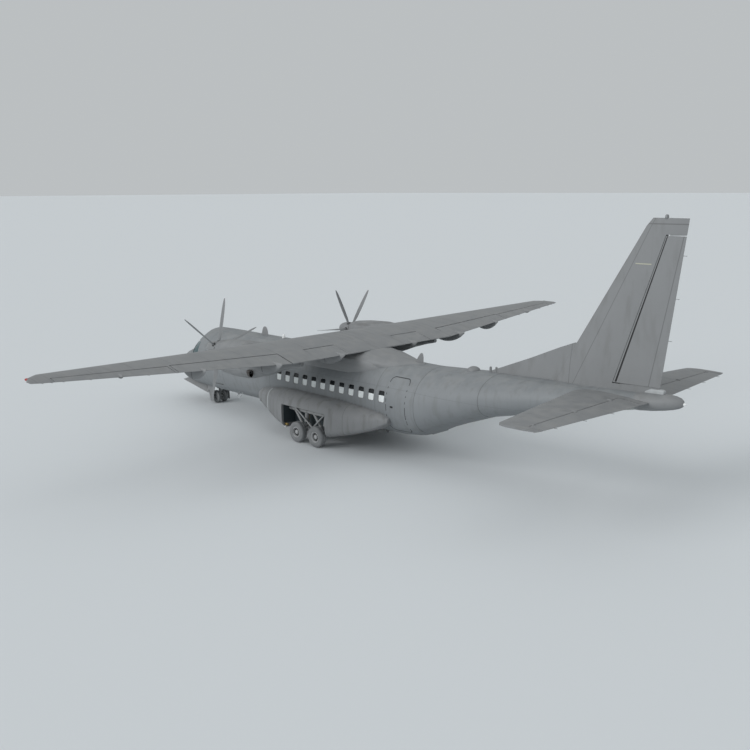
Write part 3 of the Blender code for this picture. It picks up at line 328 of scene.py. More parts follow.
# Finishes
class Graph:
    """Places and wires the nodes of one tree."""

    def __init__(self, tree: bpy.types.NodeTree) -> None:
        """Keeps the tree."""
        self.tree = tree

    def fill(self, node: bpy.types.Node, inputs: dict[Any, Any]) -> bpy.types.Node:
        """Gives a node's inputs, by name or number, their values or sockets."""
        for key, value in inputs.items():
            if isinstance(value, bpy.types.NodeSocket):
                self.tree.links.new(value, node.inputs[key])
            else:
                node.inputs[key].default_value = value
        return node

    def node(self, kind: str, inputs: dict[Any, Any] | None = None, **settings: Any) -> bpy.types.Node:
        """Adds a node.

        Args:
            kind: the node's type.
            inputs: values or sockets for its inputs, by name or number.
            settings: its own properties.

        Returns:
            The node.
        """
        node = self.tree.nodes.new(kind)
        for key, value in settings.items():
            setattr(node, key, value)
        return self.fill(node, inputs or {})

    def math(self, operation: str, first: Any, second: Any = 0.0, clamp: bool = False) -> Socket:
        """The result of a sum on two numbers."""
        node = self.node("ShaderNodeMath", {0: first, 1: second}, operation=operation, use_clamp=clamp)
        return node.outputs[0]

    def product(self, first: Any, second: Any) -> Socket:
        """Two numbers multiplied."""
        return self.math("MULTIPLY", first, second)

    def steps(self, value: Any, low: Any, high: Any, to_low: Any = 0.0, to_high: Any = 1.0) -> Socket:
        """A value's place between two limits, eased at both ends."""
        inputs = {"Value": value, "From Min": low, "From Max": high, "To Min": to_low, "To Max": to_high}
        return self.node("ShaderNodeMapRange", inputs, interpolation_type="SMOOTHSTEP").outputs[0]

    def mix(self, share: Any, first: Any, second: Any, blend: str = "MIX") -> Socket:
        """Two colours mixed."""
        inputs = {0: share, 6: first, 7: second}
        return self.node("ShaderNodeMix", inputs, data_type="RGBA", blend_type=blend).outputs[2]

    def noise(self, vector: Socket, scale: Any, detail: float) -> Socket:
        """Smooth noise from 0 to 1 on a position."""
        inputs = {"Vector": vector, "Scale": scale, "Detail": detail}
        return self.node("ShaderNodeTexNoise", inputs).outputs[0]

    def vector(self, operation: str, first: Any, second: Any) -> bpy.types.Node:
        """A sum on two vectors."""
        return self.node("ShaderNodeVectorMath", {0: first, 1: second}, operation=operation)

    def facing(self) -> Socket:
        """The direction that the surface looks in."""
        return self.node("ShaderNodeTexCoord").outputs["Normal"]


def new_group(name: str, inputs: dict[str, str], outputs: dict[str, str]) -> tuple[Any, Graph, Any, Any]:
    """A shader node group with named sockets.

    Args:
        name: the group's name.
        inputs: kind of each input by its name.
        outputs: kind of each output by its name.

    Returns:
        The tree, its graph, and its input and output nodes.
    """
    tree = bpy.data.node_groups.new(name, "ShaderNodeTree")
    for direction, rows in (("INPUT", inputs), ("OUTPUT", outputs)):
        for label, kind in rows.items():
            tree.interface.new_socket(name=label, in_out=direction, socket_type=f"NodeSocket{kind}")
    graph = Graph(tree)
    return tree, graph, graph.node("NodeGroupInput"), graph.node("NodeGroupOutput")


def weathering_group() -> bpy.types.NodeTree:
    """Tone, streaks and dust of a painted skin.

    Broad noise shifts the tone, drawn-out noise makes the streaks, fine noise the speckle, and faces that
    look up gather dust. The colour is darkened by the first three and drawn to the dust colour by the last.

    Returns:
        The node group.
    """
    inputs = {"Position": "Vector", "Colour": "Color", "Stain": "Color", "Streak": "Vector"}
    inputs |= {"Amount": "Float", "Roughness": "Float"}
    tree, graph, given, result = new_group(
        "paint_weathering", inputs, {"Colour": "Color", "Roughness": "Float", "Height": "Float"}
    )
    position = given.outputs["Position"]
    broad = graph.noise(position, 0.45, 3.0)
    patches = graph.noise(position, 2.6, 4.0)
    stretched = graph.vector("MULTIPLY", position, given.outputs["Streak"]).outputs[0]
    streaks = graph.noise(stretched, 3.0, 4.0)
    speckle = graph.noise(position, 45.0, 2.0)
    stain = graph.product(graph.steps(streaks, 0.48, 0.72), given.outputs["Amount"])
    tone = graph.math("ADD", graph.product(broad, 0.16), graph.product(patches, 0.10))
    tone = graph.math("ADD", graph.math("ADD", tone, 0.85), graph.product(speckle, 0.04))
    grey = graph.node("ShaderNodeCombineColor", {0: tone, 1: tone, 2: tone}).outputs[0]
    painted = graph.mix(1.0, given.outputs["Colour"], grey, "MULTIPLY")
    colour = graph.mix(stain, painted, given.outputs["Stain"])
    up = graph.node("ShaderNodeSeparateXYZ", {0: graph.facing()})
    dust = graph.product(graph.steps(up.outputs[2], 0.35, 1.0), graph.steps(patches, 0.35, 0.7))
    dusty = graph.mix(graph.product(dust, 0.16), colour, (0.42, 0.41, 0.39, 1.0))
    rough = graph.math("ADD", given.outputs["Roughness"], graph.product(patches, 0.14))
    rough = graph.math("ADD", rough, graph.product(dust, 0.10), clamp=True)
    graph.fill(result, {"Colour": dusty, "Roughness": rough, "Height": speckle})
    return tree


def seam_group() -> bpy.types.NodeTree:
    """Panel seams: thin lines at equal steps of one coordinate.

    The distance to the nearest seam is the pitch times how far the coordinate, less the start and in
    pitches, lies from a whole number; the mask falls from one to nothing over the seam's width.

    Returns:
        The node group.
    """
    inputs = {"Coordinate": "Float", "Start": "Float", "Pitch": "Float", "Width": "Float"}
    tree, graph, given, result = new_group("panel_seams", inputs, {"Mask": "Float"})
    shifted = graph.math("SUBTRACT", given.outputs["Coordinate"], given.outputs["Start"])
    turns = graph.math("DIVIDE", shifted, given.outputs["Pitch"])
    share = graph.math("FRACT", graph.math("ADD", turns, 0.5))
    distance = graph.math("ABSOLUTE", graph.math("SUBTRACT", share, 0.5))
    distance = graph.product(distance, given.outputs["Pitch"])
    half = graph.product(given.outputs["Width"], 0.5)
    graph.fill(result, {"Mask": graph.steps(distance, half, given.outputs["Width"], 1.0, 0.0)})
    return tree


def wear_group() -> bpy.types.NodeTree:
    """Chipped and rubbed places: the worn share of the surface broken up by noise.

    Returns:
        The node group, whose mask is one where the worn share passes the noise.
    """
    inputs = {"Position": "Vector", "Worn": "Float", "Scale": "Float"}
    tree, graph, given, result = new_group("edge_wear", inputs, {"Mask": "Float"})
    texture = graph.noise(given.outputs["Position"], given.outputs["Scale"], 5.0)
    passed = graph.math("SUBTRACT", given.outputs["Worn"], texture)
    graph.fill(result, {"Mask": graph.steps(passed, -0.06, 0.10)})
    return tree


WEATHERING = weathering_group()
SEAMS = seam_group()
EDGE_WEAR = wear_group()


@dataclass(frozen=True)
class Seam:
    """Panel seams across one direction: where they start, how far apart they are and how wide.

    A single seam has a pitch longer than the aeroplane. A leaning seam goes aft by its lean for each
    metre up, and its start is where it would meet the ground.
    """

    axis: Axis
    start: float
    pitch: float = 90.0
    width: float = 0.011
    lean: float = 0.0


@dataclass(frozen=True)
class Finish:
    """What every finish has: a name, a colour and a roughness."""

    name: str
    colour: Triple = (0.2, 0.2, 0.2)
    roughness: float = 0.5

    def material(self) -> bpy.types.Material:
        """The finish's material, made at its first use."""
        known = bpy.data.materials.get(self.name)
        if known:
            return known
        material = bpy.data.materials.new(self.name)
        material.use_nodes = True
        material.diffuse_color = (*self.colour, 1.0)
        graph = Graph(material.node_tree)
        shader = material.node_tree.nodes["Principled BSDF"]
        graph.fill(shader, {"Base Color": (*self.colour, 1.0), "Roughness": self.roughness})
        self.dress(graph, shader, graph.node("ShaderNodeTexCoord").outputs["Object"])
        return material

    def dress(self, graph: Graph, shader: bpy.types.Node, position: Socket) -> None:
        """Wires the finish's own detail into the shader; a plain finish has none."""

    def tinted(
        self, graph: Graph, shader: bpy.types.Node, mask: Socket, tint: Triple, share: float, rough: float
    ) -> None:
        """Mixes a tint into the colour and adds to the roughness where a mask is.

        Args:
            graph: the material's graph.
            shader: its Principled shader.
            mask: where the tint lies, from 0 to 1.
            tint: the colour mixed in.
            share: how much of it, at most.
            rough: what is added to the roughness, at most.
        """
        colour = graph.mix(graph.product(mask, share), (*self.colour, 1), (*tint, 1))
        coarse = graph.math("ADD", graph.product(mask, rough), self.roughness, clamp=True)
        graph.fill(shader, {"Base Color": colour, "Roughness": coarse})

    @staticmethod
    def bump(graph: Graph, shader: bpy.types.Node, height: Socket, depth: float, strength: float) -> None:
        """Feeds a height into the shader's normal.

        Args:
            graph: the material's graph.
            shader: its Principled shader.
            height: the height, from 0 to 1.
            depth: what a height of one stands for, in metres.
            strength: how much of it shows.
        """
        inputs = {"Height": height, "Distance": depth, "Strength": strength}
        graph.fill(shader, {"Normal": graph.node("ShaderNodeBump", inputs).outputs[0]})


@dataclass(frozen=True)
class Paint(Finish):
    """Matte aircraft paint with seams, streaks, dust and worn edges."""

    stain: Triple = (0.13, 0.13, 0.125)
    streak: Triple = (1.6, 1.6, 0.25)
    amount: float = 0.28
    seams: tuple[Seam, ...] = ()
    seam_tone: float = 0.42
    seam_share: float = 0.62
    seam_depth: float = 6.0
    bare: Triple = (0.42, 0.42, 0.43)
    wear_scale: float = 9.0
    lined: bool = False
    lining: Triple = (0.34, 0.35, 0.34)
    lining_middle: Triple = (0.0, 0.0, 2.1)

    def seam_mask(self, graph: Graph, position: Socket) -> Socket | None:
        """The strongest seam at each point.

        Args:
            graph: the material's graph.
            position: the point in the aeroplane's frame.

        Returns:
            The mask, or nothing for a paint without seams.
        """
        parts = graph.node("ShaderNodeSeparateXYZ", {0: position})
        mask = None
        for seam in self.seams:
            value = parts.outputs[seam.axis.value]
            if seam.axis is Axis.SPAN:
                value = graph.math("ABSOLUTE", value)
            if seam.lean:
                value = graph.math("ADD", value, graph.product(parts.outputs[2], -seam.lean))
            start = seam.start - (MID_STATION if seam.axis is Axis.AFT else 0.0)
            inputs = {"Coordinate": value, "Start": start, "Pitch": seam.pitch, "Width": seam.width}
            line = graph.node("ShaderNodeGroup", inputs, node_tree=SEAMS).outputs[0]
            mask = line if mask is None else graph.math("MAXIMUM", mask, line)
        return mask

    def dress(self, graph: Graph, shader: bpy.types.Node, position: Socket) -> None:
        """Joins weathering, seams and worn edges, and the lining on faces that look inwards.

        Args:
            graph: the material's graph.
            shader: its Principled shader.
            position: the point in the aeroplane's frame.
        """
        inputs = {"Position": position, "Colour": (*self.colour, 1), "Stain": (*self.stain, 1)}
        inputs |= {"Streak": self.streak, "Amount": self.amount, "Roughness": self.roughness}
        skin = graph.node("ShaderNodeGroup", inputs, node_tree=WEATHERING)
        colour, height = skin.outputs["Colour"], skin.outputs["Height"]
        mask = self.seam_mask(graph, position)
        if mask is not None:
            dark = tuple(self.seam_tone * c for c in self.colour)
            colour = graph.mix(graph.product(mask, self.seam_share), colour, (*dark, 1))
            height = graph.math("ADD", height, graph.product(mask, -self.seam_depth))
        worn = graph.node("ShaderNodeAttribute", attribute_name="worn").outputs["Fac"]
        inputs = {"Position": position, "Worn": worn, "Scale": self.wear_scale}
        wear = graph.node("ShaderNodeGroup", inputs, node_tree=EDGE_WEAR)
        colour = graph.mix(wear.outputs[0], colour, (*self.bare, 1))
        if self.lined:
            reach = graph.vector("SUBTRACT", position, self.lining_middle).outputs[0]
            across = graph.vector("MULTIPLY", reach, (1, 0, 1)).outputs[0]
            inward = graph.vector("DOT_PRODUCT", across, graph.facing()).outputs["Value"]
            inside = graph.steps(inward, -0.25, -0.15, 1.0, 0.0)
            colour = graph.mix(inside, colour, (*self.lining, 1))
        graph.fill(shader, {"Base Color": colour, "Roughness": skin.outputs["Roughness"]})
        self.bump(graph, shader, height, 0.0006, 0.35)


@dataclass(frozen=True)
class Metal(Finish):
    """Bare or plated metal with fine scratches and grime in its tone."""

    grain: Triple = (30.0, 30.0, 4.0)

    def dress(self, graph: Graph, shader: bpy.types.Node, position: Socket) -> None:
        """Joins the grain and the grime."""
        stretched = graph.vector("MULTIPLY", position, self.grain).outputs[0]
        grime = graph.steps(graph.noise(position, 7.0, 4.0), 0.42, 0.68)
        self.tinted(graph, shader, grime, tuple(0.35 * c for c in self.colour), 0.55, 0.3)
        graph.fill(shader, {"Metallic": 1.0})
        self.bump(graph, shader, graph.noise(stretched, 6.0, 5.0), 0.0004, 0.25)


@dataclass(frozen=True)
class Rubber(Finish):
    """Tyre or seal rubber with dust that gathers in patches."""

    dust: Triple = (0.30, 0.29, 0.27)

    def dress(self, graph: Graph, shader: bpy.types.Node, position: Socket) -> None:
        """Joins the dust and the fine grain."""
        dusty = graph.steps(graph.noise(position, 5.0, 5.0), 0.35, 0.75)
        self.tinted(graph, shader, dusty, self.dust, 0.45, 0.12)
        self.bump(graph, shader, graph.noise(position, 160.0, 2.0), 0.0008, 0.3)


@dataclass(frozen=True)
class Glass(Finish):
    """Tinted glazing with a thin film of dust."""

    clear: float = 0.3
    film: Triple = (0.25, 0.27, 0.27)

    def dress(self, graph: Graph, shader: bpy.types.Node, position: Socket) -> None:
        """Joins the dust film."""
        film = graph.steps(graph.noise(position, 3.0, 4.0), 0.4, 0.8)
        self.tinted(graph, shader, film, self.film, 0.10, 0.10)
        graph.fill(shader, {"Transmission Weight": self.clear, "IOR": 1.48})


@dataclass(frozen=True)
class Plastic(Finish):
    """Moulded plastic or coated lining with a slight grain."""

    grain: float = 220.0

    def dress(self, graph: Graph, shader: bpy.types.Node, position: Socket) -> None:
        """Joins the grain and a broad change of tone."""
        tone = graph.steps(graph.noise(position, 1.8, 4.0), 0.3, 0.7)
        self.tinted(graph, shader, tone, tuple(min(1.0, 1.18 * c) for c in self.colour), 1.0, 0.0)
        self.bump(graph, shader, graph.noise(position, self.grain, 2.0), 0.0005, 0.25)


HULL_GREY = (0.208, 0.222, 0.232)
WING_GREY = (0.222, 0.229, 0.235)
TAIL_GREY = (0.213, 0.220, 0.226)
DOWN_FIN = (1.8, 1.2, 0.3)
HULL_PAINT = Paint(
    "hull_paint",
    HULL_GREY,
    0.52,
    seams=(
        *(Seam(Axis.AFT, station) for station in (4.30, 7.51, 2.95)),
        Seam(Axis.AFT, 13.43, width=0.014),
        Seam(Axis.AFT, 15.27, width=0.018),
        Seam(Axis.AFT, 17.93, width=0.020),
        Seam(Axis.AFT, 21.70),
        Seam(Axis.UP, 2.62, width=0.004),
        Seam(Axis.SPAN, 0.42, width=0.006),
    ),
    lined=True,
)
WING_PAINT = Paint(
    "wing_paint",
    WING_GREY,
    0.50,
    streak=(1.8, 0.25, 1.8),
    amount=0.22,
    seams=(Seam(Axis.SPAN, 4.12, 1.36, 0.008), Seam(Axis.SPAN, 12.70, width=0.012)),
)
TAIL_PAINT = Paint(
    "tail_paint",
    TAIL_GREY,
    0.52,
    streak=DOWN_FIN,
    seams=(
        Seam(Axis.UP, 8.28, width=0.014),
        Seam(Axis.UP, 4.86, 1.14, 0.006),
        Seam(Axis.SPAN, 0.70, 1.10, 0.006),
    ),
)
FIN_PAINT = Paint(
    "fin_paint",
    TAIL_GREY,
    0.52,
    streak=DOWN_FIN,
    seams=(
        Seam(Axis.UP, 8.455, width=0.020),
        Seam(Axis.AFT, 20.58, width=0.014),
        Seam(Axis.AFT, 19.023, lean=0.4763, width=0.014),
    ),
)
RUDDER_PAINT = Paint(
    "rudder_paint",
    WING_GREY,
    0.50,
    streak=DOWN_FIN,
    amount=0.2,
    seams=(Seam(Axis.AFT, 22.469, lean=0.187, width=0.016),),
)

NACELLE_PAINT = Paint(
    "nacelle_paint",
    (0.208, 0.215, 0.221),
    0.50,
    amount=0.42,
    stain=(0.09, 0.088, 0.085),
    streak=(1.6, 0.3, 1.6),
    seams=(
        Seam(Axis.AFT, 7.60, width=0.008),
        Seam(Axis.AFT, 9.05, width=0.009),
        Seam(Axis.AFT, 8.30, width=0.006),
        Seam(Axis.UP, 3.42, width=0.006),
    ),
)
MOVING_PAINT = Paint("moving_surface_paint", (0.226, 0.233, 0.239), 0.50, streak=(1.8, 0.3, 1.8), amount=0.2)
RADOME_PAINT = Paint("radome_paint", (0.205, 0.211, 0.217), 0.46, amount=0.2)
SPONSON_PAINT = Paint(
    "sponson_paint",
    TAIL_GREY,
    0.54,
    stain=(0.10, 0.098, 0.092),
    amount=0.42,
    seams=(Seam(Axis.AFT, 7.65, width=0.008), Seam(Axis.AFT, 8.62, width=0.008), Seam(Axis.AFT, 12.30)),
)
BLADE_PAINT = Paint("blade_paint", (0.195, 0.203, 0.21), 0.44, amount=0.15, bare=(0.50, 0.50, 0.51))
SPINNER_PAINT = Paint("spinner_paint", (0.215, 0.222, 0.228), 0.40, amount=0.2)
GEAR_PAINT = Paint("gear_paint", (0.33, 0.34, 0.345), 0.45, stain=(0.09, 0.085, 0.08), amount=0.45)
HUB_PAINT = Paint("wheel_hub_paint", (0.36, 0.37, 0.375), 0.42, stain=(0.08, 0.075, 0.07), amount=0.5)
LINING = Plastic("cabin_lining", (0.34, 0.35, 0.34), 0.6)
FLOOR_METAL = Metal("hold_floor_metal", (0.34, 0.35, 0.36), 0.45, grain=(40.0, 5.0, 40.0))
# Near black: painted shade inside the flight deck and the intake ducts
SHADE_DARK_LINING = Plastic("shade_dark_lining", (0.035, 0.037, 0.04), 0.7)
ENGINE_METAL = Metal("engine_casing_metal", (0.30, 0.29, 0.27), 0.5)
CHROME = Metal("strut_chrome", (0.72, 0.72, 0.73), 0.18)
STEEL = Metal("fitting_steel", (0.40, 0.40, 0.41), 0.4)
BRASS = Metal("brass_fitting", (0.62, 0.45, 0.18), 0.35)
BURNT_METAL = Metal("exhaust_metal", (0.12, 0.11, 0.105), 0.5)
TYRE = Rubber("tyre_rubber", (0.165, 0.172, 0.178), 0.72, dust=(0.26, 0.265, 0.265))
SEAL = Rubber("window_seal", (0.03, 0.032, 0.034), 0.6, dust=(0.12, 0.12, 0.12))
# Near black: painted shade in hinge gaps, door gaps, handle recesses and hub recesses; also the wicks' own
# dark rubber
DARK_RUBBER_AND_SLOT_SHADE = Rubber("hinge_slot_shadow", (0.02, 0.021, 0.022), 0.8, dust=(0.05, 0.05, 0.05))
SCREEN_GLASS = Glass("windscreen_glass", (0.012, 0.060, 0.070), 0.06, clear=0.12)
# Near black and nearly opaque: the glass tint with painted shade of the dark cabin behind it
CABIN_GLASS = Glass("cabin_window_glass", (0.008, 0.011, 0.013), 0.08, clear=0.06)
# Pale sheets on the cabin windows' lower halves: painted light, standing in for the light seen through the
# windows
WINDOW_LIGHT_SHEET = Plastic("window_blind", (0.70, 0.73, 0.73), 0.55)
# Near black: painted shade inside the wheel wells
WELL_SHADE_LINING = Plastic("well_lining", (0.030, 0.042, 0.048), 0.7)
PALE_PAINT = Paint("pale_paint", (0.40, 0.42, 0.43), 0.5, amount=0.2)
LAMP_WHITE = Glass("lamp_white", (0.85, 0.87, 0.87), 0.12, clear=0.05)
LAMP_GREY = Glass("lamp_grey", (0.20, 0.21, 0.22), 0.15, clear=0.10)
LAMP_RED = Glass("lamp_red", (0.45, 0.02, 0.015), 0.12, clear=0.25)
LAMP_GREEN = Glass("lamp_green", (0.02, 0.30, 0.10), 0.12, clear=0.25)
PALE_STRIP = Paint("pale_strip_paint", (0.42, 0.42, 0.34), 0.5, amount=0.2)


# Lines of the aeroplane that new pieces are laid on
@dataclass(frozen=True)
class Hull:
    """The fuselage skin: rounded sections at stations, straight between them."""

    # Station, half width, bottom height, top height
    sections: Rows = (
        (-0.32, 0.05, 1.50, 1.60),
        (-0.26, 0.22, 1.30, 1.82),
        (-0.08, 0.43, 1.10, 2.02),
        (0.20, 0.65, 0.94, 2.19),
        (0.55, 0.82, 0.85, 2.33),
        (0.85, 0.93, 0.81, 2.43),
        (1.25, 1.07, 0.78, 2.64),
        (1.75, 1.18, 0.76, 3.14),
        (2.25, 1.28, 0.75, 3.43),
        (2.85, 1.36, 0.75, 3.44),
        (3.50, 1.41, 0.75, 3.44),
        (4.30, 1.43, 0.75, 3.43),
        (12.00, 1.43, 0.75, 3.42),
        (13.40, 1.43, 0.755, 3.39),
        (14.20, 1.43, 0.78, 3.36),
        (14.90, 1.43, 0.87, 3.35),
        (15.25, 1.43, 0.98, 3.36),
        (15.90, 1.41, 1.30, 3.39),
        (16.60, 1.38, 1.58, 3.42),
        (17.95, 1.28, 2.07, 3.50),
        (19.30, 1.08, 2.37, 3.55),
        (20.30, 0.92, 2.57, 3.58),
        (21.50, 0.72, 2.82, 3.61),
        (22.80, 0.49, 3.09, 3.63),
        (23.70, 0.30, 3.28, 3.62),
        (24.12, 0.15, 3.38, 3.57),
        (24.20, 0.05, 3.43, 3.51),
    )
    upper_power: float = 2.05
    lower_power: float = 2.35
    corner_step: int = 10
    nose_reach: Pair = (0.2, 3.4)
    nose_halvings: int = 40

    def measures(self, station: Any, inset: float = 0.0) -> tuple[Grid, Grid, Grid]:
        """Half width, middle height and half height of the section at a station, set in by a distance."""
        table = np.array(self.sections)
        half, low, high = (np.interp(station, table[:, 0], table[:, k]) for k in (1, 2, 3))
        return half - inset, (low + high) / 2, (high - low) / 2 - inset

    def side(self, station: Any, height: Any, inset: float = 0.0) -> Grid:
        """Points of the port side.

        The section's corners stand every ten degrees. The span is the half width times the corners' share
        at the height's share of the half height, straight from corner to corner.

        Args:
            station: stations of the points.
            height: their heights.
            inset: distance in from the skin.

        Returns:
            The points.
        """
        half, middle, rise = self.measures(station, inset)
        angle = np.radians(np.arange(-90, 91, self.corner_step))
        power = np.where(angle > 0, self.upper_power, self.lower_power)
        lifts = bulged(np.sin(angle), 2 / power)
        spans = np.abs(np.cos(angle)) ** (2 / power)
        return place(half * np.interp((height - middle) / rise, lifts, spans), station, height)

    def crest(self, station: Any, face: int) -> Grid:
        """Points on the middle line: of the crown where the face is one, of the keel at minus one."""
        _, middle, rise = self.measures(station)
        return place(0.0, station, middle + face * rise)

    def ring(self, station: Any, angle: Any, inset: float = 0.0) -> Grid:
        """Points round the section, by the angle up from port."""
        half, middle, rise = self.measures(station, inset)
        across, up = np.cos(angle), np.sin(angle)
        power = np.where(up > 0, self.upper_power, self.lower_power)
        return place(half * bulged(across, 2 / power), station, middle + rise * bulged(up, 2 / power))

    def ahead(self, span: Grid, height: Grid, inset: float = 0.0) -> Grid:
        """Points of the nose met when going aft at a span position and height.

        The station is halved in on: a point is outside while its two shares, each to the section's power,
        add to more than one.

        Args:
            span: span positions.
            height: heights.
            inset: distance in from the skin.

        Returns:
            The points.
        """
        low, high = (np.full(np.shape(span), limit) for limit in self.nose_reach)
        for _ in range(self.nose_halvings):
            middle_station = (low + high) / 2
            half, middle, rise = self.measures(middle_station, inset)
            power = np.where(height > middle, self.upper_power, self.lower_power)
            total = (np.abs(span) / half) ** power + (np.abs(height - middle) / rise) ** power
            low = np.where(total > 1, middle_station, low)
            high = np.where(total > 1, high, middle_station)
        return place(span, high, height)


HULL = Hull()


def on_skin(flat: Grid, middle: Pair, inset: float, hand: Side) -> Grid:
    """Flat points, aft and up from a station and height, laid on one side of the hull."""
    return mirrored(HULL.side(middle[0] + flat[..., 0], middle[1] + flat[..., 1], inset), hand)


def pane_grid(corners: tuple[Pair, ...], grow: float, count: int = 9) -> Grid:
    """A grid over a four-cornered pane.

    A point is the corners' mean weighted by its two shares, after each corner is moved out from the middle
    by the given distance.

    Args:
        corners: the pane's corners in order.
        grow: how far the corners move out.
        count: points along each edge.

    Returns:
        Two measures at each point of the grid.
    """
    points = np.array(corners)
    points = points + unit(points - points.mean(axis=0)) * grow
    first = np.linspace(0, 1, count)[:, None, None]
    second = np.linspace(0, 1, count)[None, :, None]
    near = points[0] * (1 - first) + points[1] * first
    far = points[3] * (1 - first) + points[2] * first
    return near * (1 - second) + far * second


# Dressing of the solids
def soft_shading() -> bpy.types.NodeTree:
    """Geometry nodes that weld a solid's loose triangles and shade its gentle edges smooth.

    Returns:
        The node tree, with the bend in radians past which an edge stays sharp as its second input.
    """
    tree = bpy.data.node_groups.new("soft_shading", "GeometryNodeTree")
    tree.interface.new_socket(name="Geometry", in_out="INPUT", socket_type="NodeSocketGeometry")
    tree.interface.new_socket(name="Bend", in_out="INPUT", socket_type="NodeSocketFloat")
    tree.interface.new_socket(name="Geometry", in_out="OUTPUT", socket_type="NodeSocketGeometry")
    graph = Graph(tree)
    given = graph.node("NodeGroupInput")
    plain = graph.node(
        "GeometryNodeRemoveAttribute", {"Geometry": given.outputs["Geometry"], "Name": "custom_normal"}
    )
    welded = graph.node("GeometryNodeMergeByDistance", {"Geometry": plain.outputs[0], "Distance": 0.00005})
    shown = welded.outputs[0]
    for domain in ("FACE", "EDGE"):
        inputs = {"Geometry": shown, "Shade Smooth": True}
        shown = graph.node("GeometryNodeSetShadeSmooth", inputs, domain=domain).outputs[0]
    angle = graph.node("GeometryNodeInputMeshEdgeAngle").outputs[0]
    inputs = {0: angle, 1: given.outputs["Bend"]}
    sharp = graph.node("FunctionNodeCompare", inputs, operation="GREATER_THAN").outputs[0]
    inputs = {"Geometry": shown, "Selection": sharp, "Shade Smooth": False}
    shown = graph.node("GeometryNodeSetShadeSmooth", inputs, domain="EDGE").outputs[0]
    graph.node("NodeGroupOutput", {"Geometry": shown})
    return tree


@dataclass
class Solids:
    """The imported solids, each with its finish and softened shading."""

    bend: float = 28.0
    # Each finish with the beginnings of its solids' names
    finishes: tuple[tuple[Finish, str], ...] = (
        (HULL_PAINT, "nose_fuselage side_panel crown_panel belly_panel rear_fuselage tail_cone"),
        (HULL_PAINT, "crew_door para_door cargo_ramp upper_cargo_door"),
        (RADOME_PAINT, "radome"),
        # The flight deck is painted near black for the shade inside it
        (SHADE_DARK_LINING, "flight_deck"),
        (FLOOR_METAL, "cabin_floor"),
        (WING_PAINT, "wing"),
        (MOVING_PAINT, "wing_fairing flap aileron elevator"),
        (NACELLE_PAINT, "nacelle"),
        (ENGINE_METAL, "engine"),
        (SPINNER_PAINT, "propeller"),
        (FIN_PAINT, "fin"),
        (RUDDER_PAINT, "rudder"),
        (TAIL_PAINT, "stabiliser"),
        (SPONSON_PAINT, "sponson nose_gear_door"),
        (GEAR_PAINT, "main_gear nose_gear_leg nose_gear_fork"),
        (TYRE, "main_wheel nose_wheels"),
    )

    def finish_of(self, node: str) -> Finish:
        """The finish with the longest of the words that the node's name starts with."""
        starts = {word: finish for finish, words in self.finishes for word in words.split()}
        return starts[max((word for word in starts if node.startswith(word)), key=len)]

    def build(self) -> None:
        """Gives every solid its finish and its shading."""
        tree = soft_shading()
        bend = tree.interface.items_tree["Bend"].identifier
        for name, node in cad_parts.items():
            finish = self.finish_of(name)
            for holder in node.material_slots:
                holder.material = finish.material()
            modifier = node.modifiers.new("Soft_Shading", "NODES")
            modifier.node_group = tree
            modifier[bend] = math.radians(self.bend)
            LOG.info("%s: %s", name, finish.name)


